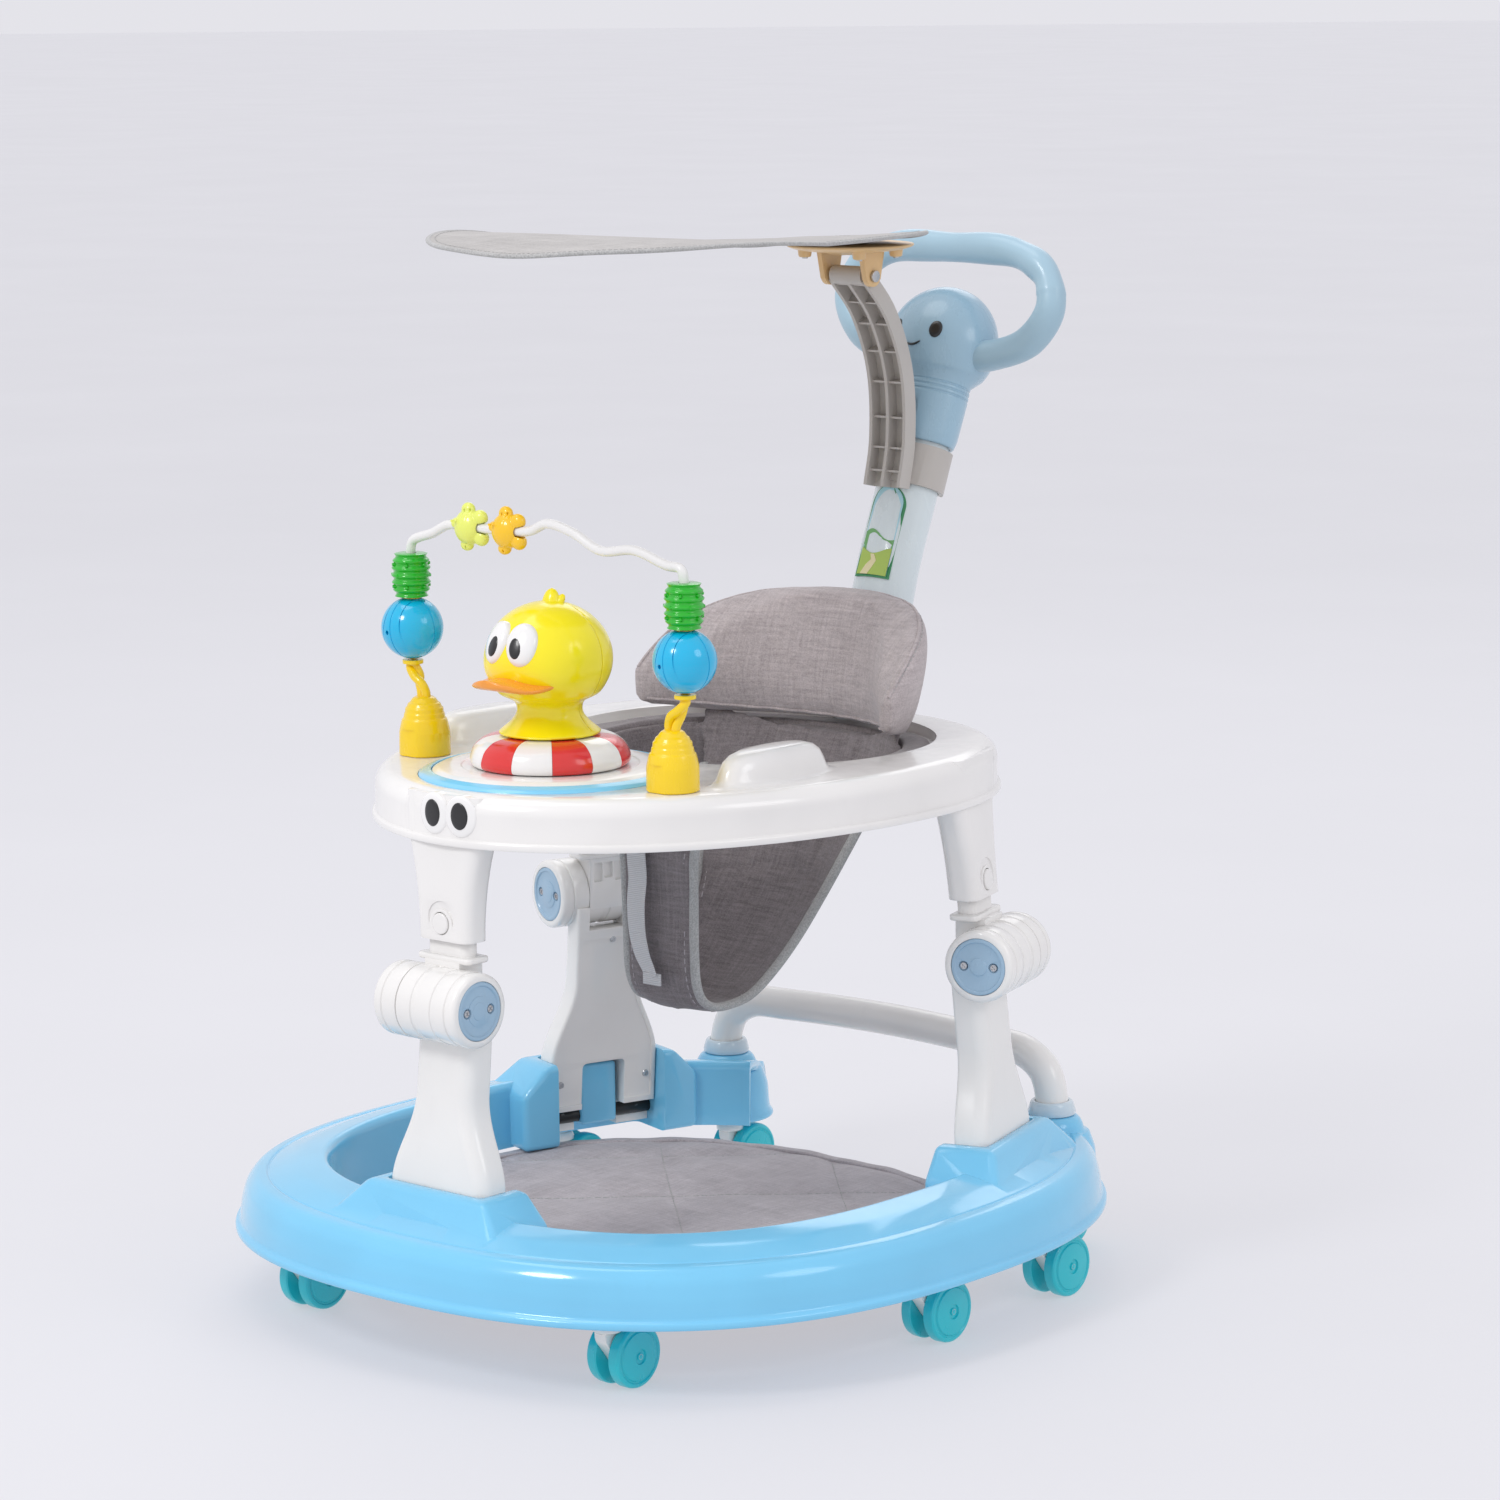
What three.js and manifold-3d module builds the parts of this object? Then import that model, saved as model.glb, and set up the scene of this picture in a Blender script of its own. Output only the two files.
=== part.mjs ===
// Baby walker: a C-shaped base ring on eight twin-wheel casters, three hinged legs, a play tray
// with a duck, toy posts and a wire, a sling seat with a back cushion, a push handle and a sun canopy.
// Millimetres, +Z up. The child faces -Y, so the front is -Y and the child's left is +X.
// The floor is z = 0.
import * as THREE from "three";
import { mergeVertices } from "three/addons/utils/BufferGeometryUtils.js";
import Module from "manifold-3d";

const wasm = await Module();
wasm.setup();

// Driving dimensions
const gap = 0.35; // between pieces that touch
const running = 0.6; // between pieces that turn or slide

const base = {
  halfWidth: 332,
  front: 333,
  rear: 375,
  centreY: -40,
  power: 2.4,
  wall: 3.2,
  bottom: 60,
  top: 118,
  width: 78,
  endX: 178,
};
const tray = {
  halfWidth: 227,
  front: 311,
  rear: 232,
  centreY: 20,
  frontPower: 2,
  rearPower: 2.4,
  bottom: 409,
  top: 450,
  wall: 3.5,
  edgeRadius: 15,
  lip: 2.5,
  lipHeight: 6,
};
const seatHole = { halfWidth: 138, front: 128, rear: 112, centreY: 76, power: 2.1 };
const ledge = { width: 26, drop: 9 };
const hump = { x: 159, y: -78, halfWidth: 21, halfLength: 62, rise: 25 };
const leg = {
  footWidth: 107,
  topWidth: 62,
  footDepth: 30,
  topDepth: 27,
  footZ: 66,
  footOut: 20,
  heelZ: 87,
  lean: 0.093,
  travel: 18,
};
const tongue = { halfWidth: 18, bottom: 83, top: 125, room: 3.5 };
const boss = { side: 11, slope: 24, top: 133, shoulder: 112, inner: -14 };
const knee = {
  z: 281,
  radius: 30,
  length: 90,
  offset: 17,
  middle: 38,
  pin: 12,
  cap: 23.5,
  capDepth: 4,
  flangeBottom: 33,
  flangeTop: 38,
};
const tube = { width: 44, depth: 17, top: 400, corner: 7 };
const sleeve = { width: 57, depth: 27, wall: 2, bottom: 331, flare: 24, inward: 1.5, corner: 10 };
const button = { radius: 8.5, stand: 1.6, thick: 3.2, z: 345 };
const rod = { radius: 6, z: 79, half: 64 };
const wheel = { radius: 25.5, disc: 11, apart: 13, axle: 3 };
const caster = { trail: 20, stem: 4.5, stemTop: 92, post: 9 };
const rearBar = { radius: 14, halfSpan: 185, y: 250, rise: 173, corner: 58, socket: 14 };
const mat = { z: 56, thick: 3 };
const insert = { y: -165, bandRadius: 106, plateRadius: 95, ringRadius: 64, plateTop: 457 };
const duck = { headRadius: 51, headZ: 545, skirtRadius: 41, neckRadius: 24 };
const toy = {
  x: 137,
  y: -170,
  ballX: 150,
  ballZ: 553.5,
  ballRadius: 25.5,
  beadZ: 597,
  beadHalf: 18,
  cupTop: 498,
  wire: 4,
};
const cushion = { radius: 154, thick: 34, centreY: 74, bottom: 452, tipZ: 478, top: 560, recline: 26 };
const sling = { radius: 126, depth: 213, wall: 4, clear: 8 };
const handle = { y: 251, z: 554, lean: 22, halfWidth: 30, halfDepth: 22, footY: 226, tubeTop: 180 };
const head = { along: 218, radius: 51, depth: 43, neckBottom: 128, neckHalf: 34 };
const loop = { halfWidth: 112, top: 84, radius: 13, tilt: 10 };
const arm = {
  width: 40,
  pivotY: 210,
  pivotZ: 824,
  pin: 2.5,
  collarBottom: 88,
  collarTop: 124,
  collarWall: 4,
  ear: 5,
};
const canopy = {
  halfWidth: 155,
  halfLength: 249,
  centreY: 0,
  z: 853,
  thick: 3,
  rise: 0.037,
  plateRadius: 54,
};

const radians = THREE.MathUtils.degToRad;

// Shape helpers

// A closed geometry as a solid with its faces pointing out
function solidOf(geometry) {
  const bare = new THREE.BufferGeometry();
  const source = geometry.index ? geometry.toNonIndexed() : geometry;
  bare.setAttribute("position", source.getAttribute("position").clone());
  const merged = mergeVertices(bare, 1e-3);
  const build = (triVerts) =>
    new wasm.Manifold(
      new wasm.Mesh({ numProp: 3, vertProperties: merged.attributes.position.array, triVerts }),
    );
  const faces = new Uint32Array(merged.index.array);
  const made = build(faces);
  return made.volume() > 0 ? made : build(faces.toReversed());
}

function geometryOf(solid) {
  const mesh = solid.getMesh();
  const geometry = new THREE.BufferGeometry();
  geometry.setAttribute("position", new THREE.BufferAttribute(new Float32Array(mesh.vertProperties), 3));
  geometry.setIndex(new THREE.BufferAttribute(new Uint32Array(mesh.triVerts), 1));
  geometry.computeVertexNormals();
  return geometry;
}

function join(...geometries) {
  return geometryOf(geometries.map(solidOf).reduce((a, b) => a.add(b)));
}

function cut(from, ...tools) {
  return geometryOf(tools.map(solidOf).reduce((a, b) => a.subtract(b), solidOf(from)));
}

function common(a, b) {
  return geometryOf(solidOf(a).intersect(solidOf(b)));
}

function moved(geometry, x, y, z) {
  return geometry.clone().translate(x, y, z);
}

// A flat outline (x, y) pushed up from z0 to z1
function slab(outline, z0, z1, holes = []) {
  const shape = new THREE.Shape(outline);
  shape.holes = holes.map((hole) => new THREE.Path(hole));
  return new THREE.ExtrudeGeometry(shape, { depth: z1 - z0, bevelEnabled: false }).translate(0, 0, z0);
}

// An outline in (y, z), as wide as width along X
function sideSlab(outline, width) {
  return slab(outline, -width / 2, width / 2)
    .rotateX(Math.PI / 2)
    .rotateZ(Math.PI / 2);
}

// An outline in (x, z), running from y0 to y1
function frontSlab(outline, y0, y1) {
  return slab(outline, -y1, -y0).rotateX(Math.PI / 2);
}

function points(...pairs) {
  return pairs.map(([x, y]) => new THREE.Vector2(x, y));
}

function box(x0, x1, y0, y1, z0, z1) {
  return new THREE.BoxGeometry(x1 - x0, y1 - y0, z1 - z0).translate(
    (x0 + x1) / 2,
    (y0 + y1) / 2,
    (z0 + z1) / 2,
  );
}

function uprightCylinder(radius, z0, z1, sides = 16) {
  return new THREE.CylinderGeometry(radius, radius, z1 - z0, sides)
    .rotateX(Math.PI / 2)
    .translate(0, 0, (z0 + z1) / 2);
}

function sideCylinder(radius, x0, x1, sides = 18) {
  return new THREE.CylinderGeometry(radius, radius, x1 - x0, sides)
    .rotateZ(Math.PI / 2)
    .translate((x0 + x1) / 2, 0, 0);
}

// A profile of (radius, z) turned about Z
function turned(profile, sides = 20) {
  return new THREE.LatheGeometry(points(...profile), sides).rotateX(Math.PI / 2);
}

function roundedRectangle(width, depth, corner, steps = 2) {
  const outline = [];
  for (const [sx, sy, start] of [
    [1, 1, 0],
    [-1, 1, 90],
    [-1, -1, 180],
    [1, -1, 270],
  ]) {
    for (let i = 0; i <= steps; i++) {
      const angle = radians(start + (90 * i) / steps);
      outline.push(
        new THREE.Vector2(
          sx * (width / 2 - corner) + corner * Math.cos(angle),
          sy * (depth / 2 - corner) + corner * Math.sin(angle),
        ),
      );
    }
  }
  return outline;
}

function ellipse(halfX, halfY, count = 24) {
  return Array.from({ length: count }, (_, i) => {
    const angle = (2 * Math.PI * i) / count;
    return new THREE.Vector2(halfX * Math.cos(angle), halfY * Math.sin(angle));
  });
}

// A point of an egg-shaped plan: angle 0 is +X, 90 degrees is the rear, 270 degrees is the front
function eggPoint({ halfWidth, front, rear, centreY, frontPower, rearPower, power }, angle, inset = 0) {
  const c = Math.cos(angle);
  const s = Math.sin(angle);
  const reach = (s > 0 ? rear : front) - inset;
  const exponent = 2 / ((s > 0 ? rearPower : frontPower) ?? power);
  return new THREE.Vector2(
    Math.sign(c) * (halfWidth - inset) * Math.abs(c) ** exponent,
    centreY + Math.sign(s) * reach * Math.abs(s) ** exponent,
  );
}

function egg(plan, inset = 0, count = 40) {
  return Array.from({ length: count }, (_, i) => eggPoint(plan, (2 * Math.PI * (i + 0.5)) / count, inset));
}

// A tube or bar: a section swept along a curve
function swept(section, curve, steps) {
  return new THREE.ExtrudeGeometry(new THREE.Shape(section), {
    steps,
    bevelEnabled: false,
    extrudePath: curve,
  });
}

function smoothCurve(...xyz) {
  return new THREE.CatmullRomCurve3(xyz.map((p) => new THREE.Vector3(...p)), false, "centripetal");
}

// Moves each vertex by a rule
function bent(geometry, rule) {
  const position = geometry.getAttribute("position");
  const p = new THREE.Vector3();
  for (let i = 0; i < position.count; i++) {
    p.fromBufferAttribute(position, i);
    rule(p);
    position.setXYZ(i, p.x, p.y, p.z);
  }
  return geometry;
}

// Colours

function plastic(color, roughness = 0.35) {
  return new THREE.MeshStandardMaterial({ color, roughness, metalness: 0 });
}

const skyBlue = plastic("#7cc8f0");
const white = plastic("#f3f1ec");
const mutedBlue = plastic("#93bad6");
const teal = plastic("#2fb8c0");
const black = plastic("#1d1d1f", 0.5);
const fabric = plastic("#8f8a8c", 0.95);
const yellow = plastic("#ffcf1a");
const orange = plastic("#f28c28");
const red = plastic("#d8322c");
const ballBlue = plastic("#1a9be0");
const green = plastic("#1d9a3a");
const paleYellow = plastic("#e6f56a");
const warmGrey = plastic("#c3bfba", 0.5);
const sand = plastic("#e5bc7e", 0.5);
const paleBlue = plastic("#cbd8e0", 0.3);
const steel = new THREE.MeshStandardMaterial({ color: "#b8babd", roughness: 0.3, metalness: 1 });

const walker = new THREE.Group();

function add(name, geometry, material, parent = walker) {
  const mesh = new THREE.Mesh(geometry, material);
  mesh.name = name;
  parent.add(mesh);
  return mesh;
}

// Legs

// Each leg stands in its own frame: X runs round the ring, Y points out from the walker, Z is up.
// "side" is +1 or -1: the end of the knee that carries the blue cap. "bossEnd" is how far out the
// block round the foot runs, so that it always reaches the ring.
const frontLegY = tray.centreY - tray.front + 15;
const frontBossEnd = base.front - base.centreY + frontLegY - 36;
const sideBossEnd = base.halfWidth - 271;
const legs = [
  { name: "front", x: -3, y: frontLegY, heading: 180, slope: 0, side: -1, bossEnd: frontBossEnd },
  { name: "left", x: 212, y: 118, heading: -73, slope: leg.lean, side: 1, bossEnd: sideBossEnd },
  { name: "right", x: -212, y: 118, heading: 73, slope: leg.lean, side: -1, bossEnd: sideBossEnd },
];

function legFrame({ x, y, heading }) {
  const frame = new THREE.Group();
  frame.position.set(x, y, 0);
  frame.rotation.z = radians(heading);
  return frame;
}

// Bottle-shaped outline of the lower leg, seen from outside
function legOutline() {
  const foot = leg.footWidth / 2;
  const top = leg.topWidth / 2;
  const flare = foot - top;
  const side = [
    [foot, leg.footZ],
    [foot, leg.footZ + 72],
    [top + flare * 0.74, leg.footZ + 90],
    [top + flare * 0.3, leg.footZ + 116],
    [top + flare * 0.06, leg.footZ + 142],
    [top, knee.z - 12],
  ];
  return points(...side, ...side.map(([x, z]) => [-x, z]).reverse());
}

// The lower leg leans inward from its foot to the knee
function leaned(geometry) {
  const rise = knee.z - 12 - leg.footZ;
  return bent(geometry, (p) => {
    p.y += leg.footOut * (1 - (p.z - leg.footZ) / rise);
  });
}

const rodY = leg.footOut * (1 - (rod.z - leg.footZ) / (knee.z - 12 - leg.footZ));

function legBody() {
  const body = frontSlab(legOutline(), -leg.footDepth / 2, leg.footDepth / 2);
  return bent(body, (p) => {
    const up = Math.min(Math.max((p.z - leg.footZ) / (knee.z - leg.footZ), 0), 1);
    p.y *= 1 - up * (1 - leg.topDepth / leg.footDepth);
  });
}

const capRoom = knee.capDepth + gap;

function lowerLeg() {
  const body = leaned(legBody());
  const half = knee.length / 2;
  const barrelEnd = sideCylinder(knee.radius, -half, half).translate(0, knee.offset, knee.z);
  const middle = knee.middle / 2 + running;
  const room = join(
    box(-middle, middle, -60, 80, knee.z - knee.radius - running, knee.z + 40),
    box(-80, 80, -60, 80, knee.z + 32, knee.z + 60),
  );
  const notchHalf = tongue.halfWidth + tongue.room;
  const notch = box(-notchHalf, notchHalf, -60, 90, leg.footZ - 10, tongue.top + tongue.room);
  const heel = box(-90, 90, -60, rodY - 1, leg.footZ - 10, leg.heelZ);
  const rodBore = sideCylinder(rod.radius + running / 2, -90, 90).translate(0, rodY, rod.z);
  const bore = sideCylinder(knee.pin + running / 2, -80, 80).translate(0, knee.offset, knee.z);
  const capSeats = [-1, 1].map((side) =>
    sideCylinder(knee.cap + gap, side * half - capRoom, side * half + capRoom).translate(
      0,
      knee.offset,
      knee.z,
    ),
  );
  return cut(join(body, barrelEnd), room, notch, heel, rodBore, bore, ...capSeats);
}

function kneePin(side) {
  const end = knee.length / 2;
  const shaft = sideCylinder(knee.pin, -end + 0.5, end - knee.capDepth / 2, 20);
  const caps = [-1, 1].map((s) => {
    const x = s * (end - knee.capDepth / 2 + 0.3);
    return sideCylinder(knee.cap, x - knee.capDepth / 2, x + knee.capDepth / 2);
  });
  const sockets = [-1, 1].map((s) =>
    sideCylinder(3.6, side * (end - 1.5), side * (end + 5), 8).translate(0, s * 12, 0),
  );
  return cut(join(shaft, ...caps), ...sockets).translate(0, knee.offset, knee.z);
}

function leanedUp(geometry, slope) {
  return bent(geometry, (p) => {
    p.y -= slope * (p.z - knee.z);
  });
}

function upperLeg(slope) {
  const middle = knee.middle / 2;
  const barrel = sideCylinder(knee.radius, -middle, middle).translate(0, knee.offset, knee.z);
  const flangeBottom = knee.z + knee.flangeBottom;
  const flangeTop = knee.z + knee.flangeTop;
  const web = box(-middle, middle, -13, 13, knee.z - 12, flangeBottom);
  const flange = slab(roundedRectangle(58, 25, 4), flangeBottom, flangeTop);
  const post = slab(roundedRectangle(tube.width, tube.depth, tube.corner), flangeTop, tube.top);
  const bore = sideCylinder(knee.pin + running / 2, -80, 80).translate(0, knee.offset, knee.z);
  return cut(join(barrel, web, leanedUp(join(flange, post), slope)), bore);
}

// The sleeve hangs from the tray and widens upward
function legSleeve(slope) {
  const rise = tray.bottom - gap - sleeve.bottom;
  const flared = (width, depth, corner, extra) =>
    bent(
      new THREE.ExtrudeGeometry(new THREE.Shape(roundedRectangle(width, depth, corner)), {
        depth: rise + extra,
        steps: 4,
        bevelEnabled: false,
      }).translate(0, 0, sleeve.bottom - extra / 2),
      (p) => {
        const up = Math.max(Math.min((p.z - sleeve.bottom) / (tray.bottom - sleeve.bottom), 1), 0);
        p.x *= 1 + (up ** 2 * sleeve.flare) / width;
        p.y -= up ** 2 * sleeve.inward;
      },
    );
  const outside = flared(sleeve.width, sleeve.depth, sleeve.corner, 0);
  const inside = flared(
    sleeve.width - 2 * sleeve.wall,
    sleeve.depth - 2 * sleeve.wall,
    sleeve.corner - sleeve.wall,
    20,
  );
  const holeRadius = button.radius + running;
  const hole = new THREE.CylinderGeometry(holeRadius, holeRadius, 30, 12).translate(
    0,
    sleeve.depth / 2 + 5,
    button.z,
  );
  return leanedUp(cut(outside, inside, hole), slope);
}

function heightButton(slope) {
  const front = sleeve.depth / 2 + button.stand;
  const geometry = new THREE.CylinderGeometry(button.radius, button.radius, button.thick, 12).translate(
    0,
    front - button.thick / 2,
    button.z,
  );
  return leanedUp(geometry, slope);
}

for (const { slope, side, name, ...place } of legs) {
  const frame = legFrame(place);
  walker.add(frame);
  add("lower_leg_" + name, lowerLeg(), white, frame);
  add("knee_pin_" + name, kneePin(side), mutedBlue, frame);
  add("upper_leg_" + name, upperLeg(slope), white, frame);
  add("leg_sleeve_" + name, legSleeve(slope), white, frame);
  add("height_button_" + name, heightButton(slope), white, frame);
}

// Base ring

class RingCurve extends THREE.Curve {
  constructor(inset) {
    super();
    this.inset = inset;
    const reach = base.endX / (base.halfWidth - inset);
    this.end = Math.acos(reach ** (base.power / 2));
  }
  getPoint(t, target = new THREE.Vector3()) {
    const angle = this.end - t * (2 * this.end + Math.PI);
    const { x, y } = eggPoint(base, angle, this.inset);
    return target.set(x, y, 0);
  }
}

// Section of the ring as (outward, up), from the lip inward: an upside-down channel
function ringSection() {
  const inner = -base.width;
  const outside = [
    [0, base.bottom],
    [1, base.bottom + 4],
    [-4, base.bottom + 9],
    [-8, base.bottom + 34],
    [-19, base.bottom + 46],
    [-27, base.bottom + 46],
    [-50, base.top - 4],
    [inner + 5, base.top],
    [inner, base.top - 5],
    [inner - 2, base.bottom],
  ];
  const inside = [
    [inner + base.wall - 2, base.bottom],
    [inner + base.wall + 2, base.top - base.wall - 6],
    [-20, base.bottom + 40],
    [-4 - base.wall, base.bottom],
  ];
  return [...outside, ...inside].map(([out, up]) => new THREE.Vector2(-up, out));
}

// The block that wraps the foot of a leg; its ends and its outer side slope down to the ring
function legBoss(bossEnd) {
  const half = leg.footWidth / 2 + boss.side;
  const foot = half + boss.slope;
  const out = leg.footDepth / 2 + leg.footOut;
  const across = points(
    [-foot, base.bottom],
    [foot, base.bottom],
    [foot, boss.shoulder],
    [half, boss.top],
    [-half, boss.top],
    [-foot, boss.shoulder],
  );
  const along = points(
    [boss.inner, base.bottom],
    [bossEnd, base.bottom],
    [bossEnd, boss.shoulder - 16],
    [out + 3, boss.top],
    [boss.inner, boss.top],
  );
  return common(frontSlab(across, -60, 120), sideSlab(along, 300));
}

const bosses = legs.map((each) => {
  const frame = legFrame(each);
  frame.updateMatrix();
  const wall = leg.footWidth / 2 + gap;
  const out = leg.footDepth / 2 + gap;
  const slot = leaned(box(-wall, wall, -80, out, base.bottom - 5, boss.top + 30));
  const rib = box(
    -tongue.halfWidth,
    tongue.halfWidth,
    rodY - 9,
    out + leg.footOut + 6,
    tongue.bottom - 12,
    tongue.top,
  );
  const reach = rod.half + 2;
  const bore = sideCylinder(rod.radius + running / 2, -reach, reach).translate(0, rodY, rod.z);
  return {
    block: legBoss(each.bossEnd).applyMatrix4(frame.matrix),
    slot: slot.applyMatrix4(frame.matrix),
    rib: rib.applyMatrix4(frame.matrix),
    bore: bore.applyMatrix4(frame.matrix),
  };
});

// "across" is a share of the ring's half width, so that the casters stay under the ring
const casterSpots = [
  { name: "front", across: 0.521, y: -294 },
  { name: "fore", across: 0.846, y: -43 },
  { name: "aft", across: 0.822, y: 123 },
  { name: "rear", across: 0.542, y: 246 },
].map(({ name, across, y }) => ({ name, x: across * base.halfWidth, y }));

function ringEnd() {
  const r = base.width / 2 + 2;
  return turned([
    [0, base.bottom],
    [r, base.bottom],
    [r + 1, base.bottom + 4],
    [r - 3, base.bottom + 9],
    [r - 6, base.top - 18],
    [r - 11, base.top - 12],
    [r - 14, base.top - 4],
    [r - 20, base.top],
    [0, base.top],
  ], 22);
}

function baseRing() {
  const channel = swept(ringSection(), new RingCurve(0), 36);
  const ends = [-1, 1].map((side) => moved(ringEnd(), side * rearBar.halfSpan, rearBar.y, 0));
  const posts = [];
  const bores = [];
  for (const { x, y } of casterSpots) {
    for (const side of [-1, 1]) {
      posts.push(moved(uprightCylinder(caster.post, base.bottom, base.top - 8, 6), side * x, y, 0));
      bores.push(
        moved(uprightCylinder(caster.stem + running, 0, caster.stemTop + running, 8), side * x, y, 0),
      );
    }
  }
  const sockets = [-1, 1].map((side) =>
    moved(
      uprightCylinder(rearBar.radius + 2 * gap, base.top - rearBar.socket, base.top + 10, 20),
      side * rearBar.halfSpan,
      rearBar.y,
      0,
    ),
  );
  const blocks = bosses.map((each) => each.block);
  const slots = bosses.map((each) => each.slot);
  const ribs = bosses.map((each) => each.rib);
  const rodBores = bosses.map((each) => each.bore);
  const body = cut(join(channel, ...ends, ...blocks), ...slots);
  return cut(join(body, ...ribs, ...posts), ...rodBores, ...bores, ...sockets);
}

add("base_ring", baseRing(), skyBlue);

for (const each of legs.filter(({ name }) => name !== "front")) {
  const frame = legFrame(each);
  walker.add(frame);
  const geometry = sideCylinder(rod.radius, -rod.half, rod.half, 16).translate(0, rodY, rod.z);
  add("foot_rod_" + each.name, geometry, black, frame);
}

// Rear bar

function rearBarGeometry() {
  const half = rearBar.halfSpan;
  const foot = base.top - rearBar.socket + gap;
  const bend = rearBar.corner;
  const side = [
    [half, rearBar.y, foot],
    [half, rearBar.y, foot + 13],
    [half, rearBar.y, foot + 26],
    [half - 8, rearBar.y + 1, rearBar.rise - bend * 0.34],
    [half - 30, rearBar.y + 2, rearBar.rise - bend * 0.1],
    [half - 70, rearBar.y + 4, rearBar.rise - 3],
  ];
  const mirrored = side.map(([x, y, z]) => [-x, y, z]).reverse();
  const path = smoothCurve(...side, [0, rearBar.y + 5, rearBar.rise], ...mirrored);
  return swept(ellipse(rearBar.radius, rearBar.radius, 10), path, 24);
}

add("rear_bar", rearBarGeometry(), white);

// Casters

function casterFork() {
  const axleZ = wheel.radius;
  const half = wheel.apart / 2 - running;
  const cheek = sideSlab(
    points(
      [-7, 57],
      [-6, 40],
      [caster.trail - 9, axleZ - 7],
      [caster.trail + 5, axleZ - 7],
      [caster.trail + 7, axleZ + 5],
      [8, 48],
      [7, 57],
    ),
    2 * half,
  );
  const stem = uprightCylinder(caster.stem, 50, caster.stemTop, 8);
  const collar = uprightCylinder(8, 50, base.bottom - running, 8);
  const bore = sideCylinder(wheel.axle + running, -20, 20, 8).translate(0, caster.trail, axleZ);
  return cut(join(cheek, stem, collar), bore);
}

// Two discs on one axle, turned about X
function casterWheel() {
  const inner = wheel.apart / 2;
  const outer = inner + wheel.disc;
  const half = [
    [wheel.axle, inner],
    [wheel.radius, inner],
    [wheel.radius, outer - 3.5],
    [wheel.radius - 3.5, outer - 0.5],
    [0, outer + 1],
  ];
  const profile = [...half.map(([r, x]) => [r, -x]).reverse(), ...half];
  return turned(profile, 16).rotateY(Math.PI / 2);
}

for (const { name, x, y } of casterSpots) {
  for (const [side, sideName] of [
    [1, "left"],
    [-1, "right"],
  ]) {
    const spot = new THREE.Group();
    spot.position.set(side * x, y, 0);
    walker.add(spot);
    add("caster_fork_" + name + "_" + sideName, casterFork(), white, spot);
    const turning = add("caster_wheel_" + name + "_" + sideName, casterWheel(), teal, spot);
    turning.position.set(0, caster.trail, wheel.radius);
  }
}

// Floor mat

function floorMat() {
  const outline = egg(
    { halfWidth: base.halfWidth - base.width - 6, front: 246, rear: 232, centreY: -36, power: 2.4 },
    0,
    40,
  );
  return slab(outline, mat.z, mat.z + mat.thick);
}

add("floor_mat", floorMat(), fabric);

// Tray

function roundedEgg(plan, inset, z0, z1, radius) {
  const shape = new THREE.Shape(egg(plan, inset + radius));
  return new THREE.ExtrudeGeometry(shape, {
    depth: z1 - z0 - radius,
    bevelEnabled: true,
    bevelSize: radius,
    bevelThickness: radius,
    bevelSegments: 3,
  }).translate(0, 0, z0);
}

function fullBox(z0, z1) {
  return box(-600, 600, -600, 600, z0, z1);
}

function trayGeometry() {
  const skin = tray.wall;
  const body = roundedEgg(tray, 0, tray.bottom, tray.top, tray.edgeRadius);
  const lip = slab(egg(tray, -tray.lip), tray.bottom, tray.bottom + tray.lipHeight);
  const inside = roundedEgg(tray, skin, tray.bottom - 30, tray.top - skin, tray.edgeRadius - 2);
  const rim = slab(egg(seatHole, -skin, 32), tray.bottom, tray.top - 1);
  const opening = slab(egg(seatHole, 0, 32), tray.bottom - 60, tray.top + 60);
  const step = slab(egg(seatHole, -ledge.width, 32), tray.top - ledge.drop, tray.top + 60);
  const stepSkin = slab(
    egg(seatHole, -ledge.width - skin, 32),
    tray.top - ledge.drop - skin,
    tray.top - 0.5,
  );
  const insertSeat = moved(
    uprightCylinder(insert.bandRadius + 2 * gap, tray.top - 6, tray.top + 40, 32),
    0,
    insert.y,
    0,
  );
  const insertFloor = moved(
    uprightCylinder(insert.bandRadius + skin, tray.top - 6 - skin, tray.top - 0.5, 32),
    0,
    insert.y,
    0,
  );
  const humps = [-1, 1].map((side) => {
    const dome = new THREE.SphereGeometry(1, 12, 8).rotateX(Math.PI / 2);
    dome.scale(hump.halfWidth, hump.halfLength, hump.rise).translate(side * hump.x, hump.y, tray.top);
    return common(dome, fullBox(tray.top - skin / 2, tray.top + 60));
  });
  const shell = cut(join(body, lip), inside, fullBox(tray.bottom - 60, tray.bottom));
  const hangers = legs.map(sleeveHanger);
  const blocks = hangers.map(({ block }) => block);
  const filled = join(shell, common(join(rim, stepSkin, insertFloor, ...blocks), body));
  const handleHole = moved(
    slab(ellipse(handle.halfWidth + 1.5, handle.halfDepth + 2, 20), tray.bottom - 60, tray.top + 60),
    0,
    handle.footY + 1,
    0,
  );
  const handleWell = common(
    moved(
      slab(ellipse(handle.halfWidth + 5, handle.halfDepth + 5, 20), tray.bottom, tray.top + 60),
      0,
      handle.footY + 1,
      0,
    ),
    body,
  );
  return cut(
    join(filled, handleWell, ...humps),
    opening,
    step,
    insertSeat,
    handleHole,
    ...hangers.map(({ room }) => room),
    fullBox(tray.bottom - 60, tray.bottom),
  );
}

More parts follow.
